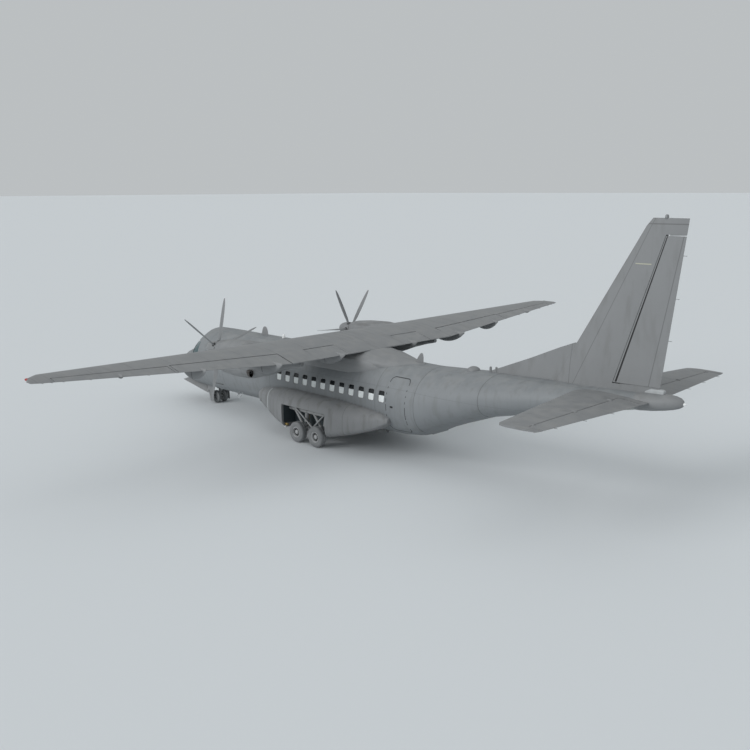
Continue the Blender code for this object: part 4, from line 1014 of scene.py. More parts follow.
@dataclass
class Glazing:
    """Windscreen panes and cabin windows, with their frames and the pale sheets of painted light on the
    windows' lower halves.
    """

    front_pane: tuple[Pair, ...] = ((0.04, 2.52), (0.60, 2.31), (0.60, 2.90), (0.04, 3.02))
    side_pane: tuple[Pair, ...] = ((1.66, 2.34), (2.28, 2.46), (2.28, 2.89), (1.66, 2.93))
    quarter_stations: Pair = (0.86, 1.62)
    quarter_span: float = 0.64
    quarter_foot: float = 14.0
    quarter_points: int = 12
    pane_insets: Pair = (0.02, 0.028)
    window_count: int = 12
    window_start: float = 8.09
    window_pitch: float = 0.513
    window_height: float = 2.28
    window_size: Pair = (0.30, 0.42)
    window_corner: float = 0.06
    window_insets: Pair = (0.030, 0.036)
    # Insets, top and middle of the pale sheet of painted light on each window's lower half
    light_sheet_insets: Pair = (0.020, 0.026)
    light_sheet_top: float = 0.035
    light_sheet_middle: Pair = (0.0, -0.10)
    # Growth of the window's outline and distance in from the skin, round a frame's section
    frame_section: Rows = (
        (0.008, 0.004),
        (0.008, -0.003),
        (-0.012, -0.003),
        (-0.012, 0.030),
        (0.008, 0.004),
    )

    def build(self) -> None:
        """Builds all glazing."""
        self.windscreen()
        self.cabin_windows()

    def quarter_grid(self, inset: float) -> Grid:
        """The quarter pane: each station's ring from its lower edge up to where it meets the front pane."""
        stations = np.linspace(*self.quarter_stations, self.quarter_points)
        half = HULL.measures(stations, inset)[0]
        highest = np.arccos(np.clip(self.quarter_span / half, 0, 1) ** (HULL.upper_power / 2))
        lowest = np.radians(self.quarter_foot)
        shares = np.linspace(0, 1, self.quarter_points)
        return HULL.ring(stations[:, None], lowest + (highest - lowest)[:, None] * shares, inset)

    def windscreen(self) -> None:
        """Two front, two quarter and two side panes, each a sheet that follows the skin a little way in."""
        front, side = pane_grid(self.front_pane, 0.02), pane_grid(self.side_pane, 0.03)
        sheets = [
            (
                HULL.ahead(front[..., 0], front[..., 1], inset),
                self.quarter_grid(inset),
                HULL.side(side[..., 0], side[..., 1], inset),
            )
            for inset in self.pane_insets
        ]
        for hand in Side:
            shape = Shape()
            for outer, inner in zip(*sheets):
                shape.plate(mirrored(outer, hand), mirrored(inner, hand))
            shape.made(f"windscreen_{hand.word}", SCREEN_GLASS)

    def outline(self, grow: float) -> Grid:
        """The outline of one cabin window: distance aft and height about its middle."""
        width, height = self.window_size
        return rounded_outline(width + 2 * grow, height + 2 * grow, self.window_corner + grow)

    def cabin_windows(self) -> None:
        """Panes, frames and pale sheets of painted light, one of each for every window.

        A pane is rings of its outline drawn in to the middle; a frame is four outlines joined to a closed
        band; a light sheet is the pane's lower part, painted pale for the light seen through the window.
        """
        shares = np.linspace(0, 1, 4)[:, None, None]
        # The pane's lower part gets a pale sheet: painted light seen through the window
        low = self.outline(-0.010)
        low[:, 1] = np.minimum(low[:, 1], self.light_sheet_top)
        light_sheet = self.light_sheet_middle + shares * (low - self.light_sheet_middle)
        pane = shares * self.outline(0.004)
        for hand in Side:
            panes, frames, light_sheets = Shape(), Shape(), Shape()
            for station in self.window_start + self.window_pitch * np.arange(self.window_count):
                middle = (station, self.window_height)
                panes.pad([on_skin(pane, middle, inset, hand) for inset in self.window_insets])
                band = [on_skin(self.outline(g), middle, inset, hand) for g, inset in self.frame_section]
                frames.grid(np.stack(band), closed=True)
                light_sheets.pad([on_skin(light_sheet, middle, inset, hand) for inset in self.light_sheet_insets])
            panes.made(f"cabin_panes_{hand.word}", CABIN_GLASS)
            frames.made(f"window_frames_{hand.word}", RADOME_PAINT)
            light_sheets.made(f"window_blinds_{hand.word}", WINDOW_LIGHT_SHEET)


@dataclass
class Propeller:
    """A six-bladed propeller: twisted blades with cuffs, and a spinner with its back plate."""

    side: Side
    phase: float
    station: float = 7.05
    span: float = 3.50
    height: float = 3.46
    count: int = 6
    section_points: int = 18
    # First and last radius of a blade's rows, and how many they are, below the tip and at it
    radii: tuple[tuple[float, float, int], ...] = ((0.16, 1.75, 30), (1.78, 1.945, 12))
    # Share of the half thickness all round, what is added ahead of the middle, and the back's arch
    fullness: Triple = (0.92, 0.30, 0.18)
    worn_edge: float = 0.55
    worn_share: float = 0.62
    # Radius where the leading edge starts to be worn, and the distance to full wear
    worn_radii: Pair = (0.6, 1.3)
    spinner_radius: float = 0.29
    spinner_length: float = 0.66
    # Radius, chord, pitch angle, thickness
    rows: Rows = (
        (0.16, 0.115, 106, 0.090),
        (0.30, 0.125, 104, 0.085),
        (0.42, 0.20, 101, 0.060),
        (0.60, 0.240, 98, 0.044),
        (0.90, 0.235, 94, 0.034),
        (1.20, 0.215, 90, 0.025),
        (1.50, 0.175, 86, 0.020),
        (1.75, 0.130, 83, 0.015),
        (1.88, 0.085, 82, 0.011),
        (1.93, 0.055, 81, 0.008),
        (1.945, 0.035, 81, 0.006),
    )
    # Radius and distance aft of the disc, from the spinner's widest place to the shaft's end
    back: Rows = (
        (0.29, 0.0),
        (0.29, 0.06),
        (0.282, 0.062),
        (0.282, 0.068),
        (0.29, 0.07),
        (0.288, 0.115),
        (0.27, 0.12),
        (0.10, 0.12),
        (0.075, 0.10),
        (0.07, 0.38),
        (0.0, 0.38),
    )
    # Distance from the axis and radius of a blade's cuff
    cuff: Rows = ((0.25, 0.088), (0.282, 0.088), (0.300, 0.080), (0.306, 0.064))

    @property
    def centre(self) -> Grid:
        """The middle of the disc."""
        return place(self.side.value * self.span, self.station, self.height)

    @staticmethod
    def spoke(turn: float) -> Grid:
        """The direction out from the axis at an angle in the disc."""
        return np.array([math.cos(turn), 0.0, math.sin(turn)])

    def blade(self, turn: float) -> tuple[Grid, Grid]:
        """One blade.

        With v the angle round a section, a point lies at minus half the chord times the cosine of v along
        the chord, and half the thickness times the sine of v across it, fuller ahead of the middle. The
        chord leans from the disc by the pitch angle.

        Args:
            turn: the blade's angle in the disc.

        Returns:
            The points, and how worn each is: most at the leading edge towards the tip.
        """
        table = np.array(self.rows)
        radii = np.concatenate([np.linspace(*row) for row in self.radii])
        chord, pitch, thick = (np.interp(radii, table[:, 0], table[:, k])[:, None] for k in (1, 2, 3))
        pitch = np.radians(pitch)[..., None]
        v = np.arange(self.section_points) * FULL_TURN / self.section_points
        along = -0.5 * chord * np.cos(v)
        even, ahead, arch = self.fullness
        off = 0.5 * thick * np.sin(v) * (even + ahead * np.cos(v)) + arch * thick * np.sin(v / 2) ** 2
        across = np.array([-math.sin(turn), 0.0, math.cos(turn)])
        aft = np.array(AFTWARD)
        line = across * np.cos(pitch) + aft * np.sin(pitch)
        normal = aft * np.cos(pitch) - across * np.sin(pitch)
        out = self.spoke(turn) * radii[:, None, None]
        leading = np.clip(np.cos(v) - self.worn_edge, 0, 1) / (1 - self.worn_edge)
        start, reach = self.worn_radii
        worn = self.worn_share * leading * np.clip((radii[:, None] - start) / reach, 0, 1)
        return self.centre + (out + line * along[..., None] + normal * off[..., None]), worn

    def build(self) -> None:
        """Builds blades, spinner and the ring behind it."""
        body = f"propeller_{self.side.word}"
        blades, cuffs = Shape(), Shape()
        reach, radius = np.array(self.cuff).T
        for turn in self.phase + FULL_TURN * np.arange(self.count) / self.count:
            blades.tube(*self.blade(turn))
            path = self.centre + self.spoke(turn) * reach[:, None]
            cuffs.tube(carried(path, radius[:, None, None] * circle(1.0, 20), AFTWARD))
        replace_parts(blades.made(f"blades_{self.side.word}", BLADE_PAINT, body), body)
        share = np.linspace(0, 1, 22)
        girth = self.spinner_radius * np.sqrt(1 - (1 - share) ** 2)
        along = -self.spinner_length + share * (self.spinner_length - 0.1)
        profile = np.vstack([np.stack([girth, along], axis=-1), self.back])
        spinner = Shape().lathe(profile, self.centre, Axis.AFT, 40)
        spinner.made(f"spinner_{self.side.word}", SPINNER_PAINT, body)
        cuffs.made(f"blade_cuffs_{self.side.word}", SEAL, body)


@dataclass
class Nacelle:
    """Fittings of an engine nacelle: the intake lip and duct, and the exhaust."""

    side: Side
    span: float = 3.50
    lip_station: float = 7.215
    lip_radius: float = 0.02
    intake_height: float = 2.93
    intake_size: Pair = (0.40, 0.22)
    # Station and share of the intake's outline, in along the duct's inside and back along its outside
    duct: Rows = (
        (7.23, 0.98),
        (7.32, 0.90),
        (7.46, 0.80),
        (7.47, 0.40),
        (7.47, 0.0),
        (7.49, 0.0),
        (7.49, 0.84),
        (7.23, 0.99),
        (7.23, 0.98),
    )
    # Span position, station, height and width share of the exhaust pipe
    exhaust: Rows = (
        (3.74, 9.30, 2.93, 0.9),
        (3.88, 9.40, 2.92, 1.0),
        (3.97, 9.56, 2.91, 1.0),
        (4.01, 9.72, 2.91, 0.98),
    )
    exhaust_radii: Pair = (0.085, 0.13)
    exhaust_bore: float = 0.90

    def hoop(self, flat: Grid, station: float) -> Grid:
        """A flat outline about the intake's middle, stood at a station."""
        return place(self.side.value * self.span + flat[:, 0], station, self.intake_height + flat[:, 1])

    def build(self) -> None:
        """Builds the fittings."""
        width, tall = self.intake_size
        outline = rounded_outline(width + 0.01, tall + 0.01, 0.085, 7)
        rows = [
            self.hoop(outline + unit(outline) * reach, self.lip_station + rise)
            for reach, rise in circle(self.lip_radius, 8)
        ]
        lip = Shape().grid(np.stack(rows + rows[:1]), closed=True)
        lip.made(f"intake_lip_{self.side.word}", STEEL)

        # The intake duct is painted near black for the shade inside it
        outline = rounded_outline(width, tall, 0.08, 7)
        rows = [self.hoop(share * outline, station) for station, share in self.duct]
        tube = Shape().grid(np.stack(rows), closed=True)
        tube.made(f"intake_duct_{self.side.word}", SHADE_DARK_LINING)

        span, station, height, share = np.array(self.exhaust).T
        path = place(self.side.value * span, station, height)
        oval = share[:, None, None] * circle(1.0, 24) * self.exhaust_radii
        outer, inner = carried(path, oval), carried(path, self.exhaust_bore * oval)
        pipe = Shape().grid(np.concatenate([outer, inner[::-1], outer[:1]]), closed=True)
        pipe.made(f"exhaust_pipe_{self.side.word}", BURNT_METAL)


@dataclass
class WheelSet:
    """Tyre and hub of one wheel body: one wheel, or the twin nose wheels."""

    body: str
    station: float
    radius: float
    width: float
    spans: tuple[float, ...]
    hub_radius: float
    facing: tuple[int, ...] = (1,)
    steps: int = 30
    axle: float = 0.0
    hub_steps: int = 40
    bolt_count: int = 9
    bolt_radius: float = 0.011
    bolt_share: float = 0.66
    # How far a bolt's two ends and the ring of painted shade stand in from the hub's face
    bolt_insets: Pair = (0.095, 0.067)
    recess_inset: float = 0.077
    recess_steps: int = 36
    # Share of the hub's radius and distance out from the recess, round the section of the ring of painted
    # shade
    recess: Rows = ((0.44, 0.0), (0.44, 0.005), (0.84, 0.002), (0.86, -0.006), (0.44, 0.0))

    def tyre_profile(self) -> Grid:
        """Radius and distance along the axle: bead, bulged wall, shoulder and grooved tread, both sides."""
        r, h, b = self.radius, self.width / 2, self.hub_radius
        wall = [(b, 0.74 * h), (b + 0.02, 0.90 * h), ((r + b) / 2, h), (r - 0.05, 0.97 * h)]
        tread = [(r - 0.018, 0.80 * h), (r, 0.56 * h), (r, 0.30 * h), (r - 0.010, 0.27 * h)]
        half = [*wall, *tread, (r - 0.010, 0.17 * h)]
        return np.array(half + [(q, -w) for q, w in half[::-1]] + half[:1])

    def hub_profile(self, facing: int) -> Grid:
        """Radius and distance of the dished hub, from its inner middle out round the rim to its cap."""
        h, b = self.width / 2, self.hub_radius
        dish = h - 0.055
        inner = [(0.0, -dish), (0.35 * b, -dish), (0.55 * b, -dish + 0.02), (0.80 * b, -dish + 0.01)]
        rim = [(0.90 * b, -0.82 * h), (b + 0.012, -0.86 * h), (b + 0.012, 0.86 * h), (0.93 * b, 0.86 * h)]
        outer = [(0.86 * b, 0.70 * h), (0.80 * b, dish - 0.03), (0.48 * b, dish - 0.02)]
        step = [(0.42 * b, dish + 0.01), (0.36 * b, dish + 0.018)]
        cap = [*step, (0.20 * b, dish + 0.03), (0.0, dish + 0.032)]
        return np.array(inner + rim + outer + cap) * (1.0, float(facing))

    def build(self, replaced: str) -> None:
        """Builds the tyres, hubs and hub bolts of the body.

        Args:
            replaced: the solid that they stand for.
        """
        tyres, hubs, bolts, recess = Shape(), Shape(), Shape(), Shape()
        half = self.width / 2
        angles = np.arange(self.bolt_count) * FULL_TURN / self.bolt_count
        for span, facing in zip(self.spans, self.facing):
            centre = place(span, self.station, self.radius)
            tyres.lathe(self.tyre_profile(), centre, Axis.SPAN, self.steps)
            hubs.lathe(self.hub_profile(facing), centre, Axis.SPAN, self.hub_steps)
            # A near-black ring of painted shade in the hub's recess
            depth = half - self.recess_inset
            band = [(share * self.hub_radius, facing * (depth + rise)) for share, rise in self.recess]
            recess.lathe(band, centre, Axis.SPAN, self.recess_steps)
            for angle in angles:
                reach = self.bolt_share * self.hub_radius
                across = centre + reach * np.array([0.0, math.cos(angle), math.sin(angle)])
                near, far = (across + (facing * (half - inset), 0, 0) for inset in self.bolt_insets)
                bolts.rod(near, far, self.bolt_radius, 6)
        if self.axle:
            ends = [place(span, self.station, self.radius) for span in self.spans]
            hubs.rod(*ends, self.axle, 16)
        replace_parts(tyres.made(f"tyre_{replaced}", TYRE, self.body), replaced)
        hubs.made(f"hub_{replaced}", HUB_PAINT, self.body)
        bolts.made(f"hub_bolts_{replaced}", STEEL, self.body)
        recess.made(f"hub_recess_{replaced}", DARK_RUBBER_AND_SLOT_SHADE, self.body)


@dataclass
class MainGear:
    """Fittings of one side's main gear: shock sleeves, links, braces, pipes and the well's small units."""

    side: Side
    axles: Pair = (9.86, 10.93)
    span: float = 1.58
    beam_height: float = 1.14
    rake: float = 0.10
    # Distance aft of the axle and height of the torque links' knee
    knee: Pair = (0.30, 0.66)
    knee_shares: Pair = (0.50, 0.90)
    wheel_height: float = 0.40
    drum_spans: Pair = (1.855, 1.805)
    # Shares of the leg's line where a sleeve starts and ends, and its radius
    sleeves: Rows = ((0.04, 0.50, 0.084), (0.48, 0.53, 0.096))
    rod: Triple = (0.52, 0.86, 0.064)
    # Span position, station and height of both ends of each brace, and its radius
    beams: Rows = (
        (1.71, 9.32, 1.29, 1.71, 10.36, 0.60, 0.030),
        (1.71, 11.16, 1.29, 1.71, 10.40, 0.60, 0.030),
        (1.80, 8.99, 1.29, 1.80, 11.38, 1.29, 0.028),
    )
    # Distance from the leg, distance aft of the axle, and height of the brake pipe
    pipe: Rows = ((-0.09, 0.12, 1.12), (-0.11, 0.10, 0.92), (-0.10, 0.06, 0.70), (-0.09, 0.02, 0.50))
    well_spans: Triple = (1.330, 1.335, 1.93)
    well_stations: Pair = (8.956, 11.408)
    well_heights: Triple = (0.52, 0.60, 1.325)
    well_sheet: float = 0.004

    def at(self, span: Any, station: Any, height: Any) -> Grid:
        """A point on this side."""
        return place(self.side.value * span, station, height)

    def build(self) -> None:
        """Builds the fittings."""
        word = self.side.word
        sleeves, rods, braces, brass = Shape(), Shape(), Shape(), Shape()
        span, aft, height = np.array(self.pipe).T
        for axle in self.axles:
            top = self.at(self.span, axle + self.rake, self.beam_height)
            line = self.at(self.span, axle, self.wheel_height) - top
            for start, end, radius in self.sleeves:
                sleeves.rod(top + start * line, top + end * line, radius, 24)
            rods.rod(top + self.rod[0] * line, top + self.rod[1] * line, self.rod[2], 24)
            knee = self.at(self.span, axle + self.knee[0], self.knee[1])
            for share in self.knee_shares:
                braces.rod(top + share * line, knee, 0.022, 10)
            pipe = self.at(self.span + span, axle + aft, height)
            brass.tube(carried(pipe, circle(0.009, 8), AFTWARD))
            rods.rod(*(self.at(drum, axle, self.wheel_height) for drum in self.drum_spans), 0.13, 28)
        for *ends, radius in self.beams:
            braces.rod(self.at(*ends[:3]), self.at(*ends[3:]), radius, 14)
        brass.rod(self.at(1.84, 8.955, 0.53), self.at(1.84, 9.10, 0.53), 0.045, 16)
        sleeves.made(f"shock_sleeves_{word}", GEAR_PAINT)
        rods.made(f"shock_rods_{word}", CHROME)
        braces.made(f"gear_braces_{word}", GEAR_PAINT)
        brass.made(f"brake_lines_{word}", BRASS)
        lamp = Shape().grid(blob(self.at(1.84, 8.95, 0.42), (0.05, 0.035, 0.05)), closed=True)
        lamp.made(f"well_lamp_{word}", LAMP_WHITE)
        self.well()

    def well(self) -> None:
        """The wheel well's lining, painted dark for the shade inside the well: front, inner and rear walls,
        and a roof with stiffeners.
        """
        lining, ribs = Shape(), Shape()
        skin, inner, outer = self.well_spans
        fore, rear = self.well_stations
        low, lip, high = self.well_heights
        ends = [
            [(inner, at, low), (outer, at, lip), (inner, at, high), (outer, at, high)] for at in (fore, rear)
        ]
        side = [(skin, fore, low), (skin, 11.41, low), (skin, fore, high), (skin, 11.41, high)]
        roof = [(inner, fore, 1.33), (1.95, fore, 1.33), (inner, 11.41, 1.33), (1.95, 11.41, 1.33)]
        for corners, across in ((ends[0], Axis.AFT), (side, Axis.SPAN), (ends[1], Axis.AFT), (roof, Axis.UP)):
            sheet = self.at(*np.array(corners).T).reshape(2, 2, 3)
            shift = self.well_sheet * (np.arange(3) == across.value)
            lining.plate(sheet - shift, sheet + shift)
        lining.made(f"well_lining_{self.side.word}", WELL_SHADE_LINING)
        for station in np.arange(9.15, 11.40, 0.32):
            path = self.at(np.array([1.36, 1.80]), station, 1.305)
            ribs.tube(carried(path, rounded_outline(0.04, 0.04, 0.006, 2)))
        ribs.made(f"well_ribs_{self.side.word}", GEAR_PAINT)


@dataclass(frozen=True)
class Turning:
    """A fitting turned about an axis, from the radius and distance along the axis of each point."""

    name: str
    finish: Finish
    base: Grid
    profile: Any
    axis: Axis = Axis.UP
    facing: int = 1
    steps: int = 24
    body: str = AIRFRAME

    def build(self) -> None:
        """Turns the profile about its base and makes the piece."""
        profile = np.array(self.profile) * (1.0, float(self.facing))
        Shape().lathe(profile, self.base, self.axis, self.steps).made(self.name, self.finish, self.body)


@dataclass
class NoseGear:
    """Fittings of the nose gear: steering collar, torque links and the taxi lamp."""

    station: float = 2.10
    collar: Rows = ((0.0, 0.02), (0.085, 0.02), (0.095, 0.03), (0.095, 0.11), (0.085, 0.12), (0.0, 0.12))
    housing: Rows = (
        (0.0, -0.05),
        (0.035, -0.055),
        (0.062, -0.10),
        (0.070, -0.150),
        (0.066, -0.152),
        (0.0, -0.12),
    )
    lens: Rows = ((0.0, -0.132), (0.064, -0.146), (0.050, -0.158), (0.025, -0.165), (0.0, -0.167))

    def build(self) -> None:
        """Builds the fittings."""
        body = "nose_gear_fork"
        swivel, lamp = place(0.0, self.station, 0.80), place(0.0, self.station, 0.66)
        Turning("steering_collar", GEAR_PAINT, swivel, self.collar, steps=28).build()
        links = Shape()
        knee = place(0.0, self.station + 0.20, 0.62)
        for height in (0.77, 0.47):
            for offset in (-0.035, 0.035):
                start = place(offset, self.station + 0.05, height)
                links.rod(start, knee + (0.4 * offset, 0, 0), 0.014, 10)
        links.rod(knee - [0.03, 0, 0], knee + [0.03, 0, 0], 0.02, 12)
        links.made("torque_links", GEAR_PAINT, body)
        Turning("taxi_lamp_housing", GEAR_PAINT, lamp, self.housing, Axis.AFT, body=body).build()
        Turning("taxi_lamp_lens", LAMP_WHITE, lamp, self.lens, Axis.AFT, body=body).build()


@dataclass(frozen=True)
class Blade:
    """A swept blade aerial: its foot's front and aft stations, its tip's, and how far it stands out."""

    name: str
    foot: Pair
    tip: Pair
    reach: float
    below: bool = False
    thickness: float = 0.035

    def grid(self) -> Grid:
        """The aerial.

        Each row is a lens shape, half the thickness times the sine round it, between front and aft
        stations that go straight from foot to tip; the tip row is drawn together.

        Returns:
            Rows from foot to tip.
        """
        share = np.array([0.0, 0.3, 0.6, 0.85, 0.96, 1.0])[:, None]
        v = np.arange(16) * FULL_TURN / 16
        front = self.foot[0] + (self.tip[0] - self.foot[0]) * share
        aft = self.foot[1] + (self.tip[1] - self.foot[1]) * share
        round_off = np.sqrt(np.clip(1 - share**6, 0, 1)) * 0.9 + 0.1
        station = (front + aft) / 2 - (aft - front) / 2 * np.cos(v) * round_off
        face = -1 if self.below else 1
        points = HULL.crest(station, face)
        points[..., 0] = self.thickness / 2 * np.sin(v) * round_off * (1 - 0.4 * share)
        points[..., 2] += face * (share * self.reach - 0.03 * (1 - share))
        return points


@dataclass
class HullFittings:
    """Aerials, beacons, dome, door seals with painted gap shade, handles in recesses of painted shade, steps
    and the fairing's long end.
    """

    # Station, half width, top height
    tail_rows: Rows = (
        (12.60, 1.02, 3.585),
        (13.00, 0.90, 3.535),
        (13.45, 0.74, 3.478),
        (13.90, 0.52, 3.432),
        (14.25, 0.32, 3.405),
        (14.55, 0.12, 3.372),
    )
    tail_depth: float = 0.30
    tail_power: float = 2.4
    blades: tuple[Blade, ...] = (
        Blade("aerial_crown_front", (5.26, 5.72), (5.36, 5.66), 0.36, thickness=0.06),
        Blade("aerial_crown_aft", (14.06, 14.46), (14.30, 14.47), 0.38, thickness=0.05),
        Blade("aerial_belly_front", (3.30, 3.60), (3.44, 3.58), 0.21, True),
        Blade("aerial_belly_aft", (12.50, 12.78), (12.62, 12.76), 0.26, True),
    )
    dome_station: float = 16.74
    dome_size: Pair = (0.22, 0.14)
    dome_foot: Rows = ((0.225, -0.05), (0.0, -0.05))
    post_stations: Pair = (17.45, 17.69)
    post: Rows = ((0.0, -0.03), (0.05, -0.03), (0.042, 0.08), (0.036, 0.17), (0.0, 0.19))
    # Name, station, face of the hull and finish of each beacon
    beacons: tuple[tuple[str, float, int, Finish], ...] = (
        ("crown", 6.73, 1, LAMP_WHITE),
        ("belly", 6.10, -1, LAMP_RED),
    )
    lens: Rows = ((0.0, 0.17), (0.03, 0.165), (0.055, 0.13), (0.065, 0.04), (0.065, 0.0), (0.0, 0.0))
    lens_foot: Rows = ((0.0, 0.012), (0.09, 0.010), (0.095, -0.03), (0.0, -0.03))
    # Growth of the door's outline and distance in from the skin, round the seal's section
    seal_section: Rows = (
        (-0.010, 0.008),
        (-0.010, -0.003),
        (0.010, -0.003),
        (0.010, 0.008),
        (-0.010, 0.008),
    )
    door_middle: Pair = (14.42, 2.03)
    door_size: Pair = (0.90, 1.92)
    door_corner: float = 0.16
    # Width, height and corner of a handle's plate, and the plates' stations and heights
    handle_form: Triple = (0.14, 0.07, 0.03)
    para_handle: Pair = (14.24, 1.98)
    crew_handle: Pair = (3.47, 1.92)
    # Span position, station and height along a step
    step_path: Rows = (
        (1.18, 5.16, 1.12),
        (1.28, 5.15, 0.98),
        (1.31, 5.19, 0.92),
        (1.31, 5.37, 0.92),
        (1.28, 5.41, 0.98),
        (1.18, 5.40, 1.12),
    )

    def build(self) -> None:
        """Builds the fittings."""
        for blade in self.blades:
            Shape().tube(blade.grid()).made(blade.name, RADOME_PAINT)
        angles = np.linspace(0, math.pi / 2, 8)
        radius, rise = self.dome_size
        dome = np.stack([radius * np.sin(angles), rise * np.cos(angles)], axis=-1)
        dome = np.vstack([dome, self.dome_foot])
        Turning("crown_dome", RADOME_PAINT, HULL.crest(self.dome_station, 1), dome, steps=32).build()
        posts = Shape()
        for station in self.post_stations:
            posts.lathe(self.post, HULL.crest(station, 1), Axis.UP, 16)
        posts.made("crown_posts", RADOME_PAINT)
        for name, station, face, finish in self.beacons:
            base = HULL.crest(station, face)
            Turning(f"beacon_{name}", finish, base, self.lens, facing=face).build()
            Turning(f"beacon_foot_{name}", STEEL, base, self.lens_foot, facing=face).build()
        for hand in Side:
            self.door_handle("para_door", self.para_handle, hand, AIRFRAME)
        self.door_handle("crew_door", self.crew_handle, Side.LEFT, "crew_door")
        for hand in Side:
            self.door_seal(hand)
        for hand in Side:
            rod = carried(mirrored(place(*np.array(self.step_path).T), hand), circle(0.013, 10))
            Shape().tube(rod).made(f"step_{hand.word}", PALE_PAINT)
        self.fairing_tail()

    def fairing_tail(self) -> None:
        """The long, low end of the wing's fairing, run out along the crown.

        Each section is a flattened round whose ends sink into the crown.
        """
        angle = np.arange(36) * FULL_TURN / 36
        across, up = (bulged(side, 2 / self.tail_power) for side in (np.cos(angle), np.sin(angle)))
        station, half, high = np.array(self.tail_rows).T[..., None]
        rows = place(half * across, station, high - self.tail_depth + self.tail_depth * up)
        Shape().tube(rows).made("fairing_tail", MOVING_PAINT)

    def door_seal(self, hand: Side) -> None:
        """A dark band round a paratroop door: the door's seal, with painted shade of the gap round the door.

        The door's rounded outline is drawn at four offsets that make a thin closed band on the skin.

        Args:
            hand: the door's side.
        """
        wide, tall = self.door_size
        band = []
        for grow, inset in self.seal_section:
            flat = rounded_outline(wide + 2 * grow, tall + 2 * grow, self.door_corner + grow, 6)
            band.append(on_skin(dense_ring(flat, 8), self.door_middle, inset, hand))
        Shape().grid(np.stack(band), closed=True).made(f"para_door_seal_{hand.word}", DARK_RUBBER_AND_SLOT_SHADE)

    def door_handle(self, door: str, middle: Pair, hand: Side, body: str) -> None:
        """The handle plate of a door, near black: painted shade of its recess.

        Args:
            door: the door's name.
            middle: the plate's station and height.
            hand: its side.
            body: the body that it moves with.
        """
        flat = np.array([0.0, 0.6, 0.85, 1.0])[:, None, None] * rounded_outline(*self.handle_form, 4)
        plate = Shape().pad([on_skin(flat, middle, inset, hand) for inset in (-0.004, 0.004)])
        plate.made(f"{door}_handle_{hand.word}", DARK_RUBBER_AND_SLOT_SHADE, body)


@dataclass
class SponsonFittings:
    """The pale band and the side lamp of one sponson."""

    side: Side
    inner: float = 0.62
    upper_power: float = 2.6
    lower_power: float = 4.6
    band_stations: Pair = (7.81, 7.89)
    band_grow: Pair = (-0.004, 0.003)
    lamp: Rows = ((0.0, 0.014), (0.040, 0.012), (0.052, 0.0), (0.052, -0.03), (0.0, -0.03))
    # Station, outer edge, bottom height, top height
    sections: Rows = (
        (6.95, 1.56, 1.14, 1.56),
        (7.10, 1.64, 1.05, 1.64),
        (7.65, 1.78, 0.82, 1.74),
        (8.30, 1.94, 0.57, 1.82),
        (8.93, 2.04, 0.38, 1.86),
    )

    def ring(self, station: float, angle: Grid, grow: float) -> Grid:
        """Points round the sponson's section, by the angle up from outboard.

        Args:
            station: the section's station.
            angle: angles.
            grow: distance out from the skin.

        Returns:
            The points.
        """
        table = np.array(self.sections)
        outer, low, high = (np.interp(station, table[:, 0], table[:, k]) for k in (1, 2, 3))
        half, rise = (outer - self.inner) / 2 + grow, (high - low) / 2 + grow
        across, up = np.cos(angle), np.sin(angle)
        power = np.where(up > 0, self.upper_power, self.lower_power)
        span = self.inner + half - grow + half * bulged(across, 2 / power)
        return place(self.side.value * span, station, (high + low) / 2 + rise * bulged(up, 2 / power))

    def build(self) -> None:
        """Builds the band and the lamp."""
        angles = np.radians(np.linspace(-38, 62, 22))
        (front, aft), (sunk, proud) = self.band_stations, self.band_grow
        corners = ((front, sunk), (front, proud), (aft, proud), (aft, sunk), (front, sunk))
        band = Shape().tube(np.stack([self.ring(at, angles, grow) for at, grow in corners], axis=1))
        band.made(f"sponson_band_{self.side.word}", PALE_PAINT)
        base = self.ring(7.20, np.radians(-14.0), 0.0)
        name = f"sponson_lamp_{self.side.word}"
        Turning(name, LAMP_GREY, base, self.lamp, Axis.SPAN, self.side.value).build()


@dataclass(frozen=True)
class Surface:
    """A wing or tail surface: its edges along the span, and the height of its skin."""

    # Position, leading edge station, leading edge height, trailing edge station and height, thickness ratio
    rows: Rows
    camber: float = 0.0

    def measures(self, position: Any) -> list[Grid]:
        """Station and height of both edges, and the thickness ratio, at a place along the span."""
        table = np.array(self.rows)
        return [np.interp(position, table[:, 0], column) for column in table.T[1:]]

    def skin(self, position: Any, share: Any, face: float) -> tuple[Grid, Grid]:
        """Station and height of the skin.

        The half thickness is five times the ratio and chord times a sum of powers of the chord share.

        Args:
            position: place along the span.
            share: share of the chord.
            face: one for the upper face, minus one for the lower, nought for the middle.

        Returns:
            Station and height.
        """
        lead, lead_z, trail, trail_z, ratio = self.measures(position)
        chord = trail - lead
        share = np.asarray(share, dtype=float)
        form = 0.2969 * np.sqrt(share) - 0.1260 * share - 0.3516 * share**2
        form = form + 0.2843 * share**3 - 0.1015 * share**4
        half = 5 * ratio * form * chord + 0.004 * share * chord
        middle = lead_z + (trail_z - lead_z) * share + 4 * self.camber * share * (1 - share) * chord
        return lead + share * chord, middle + face * half


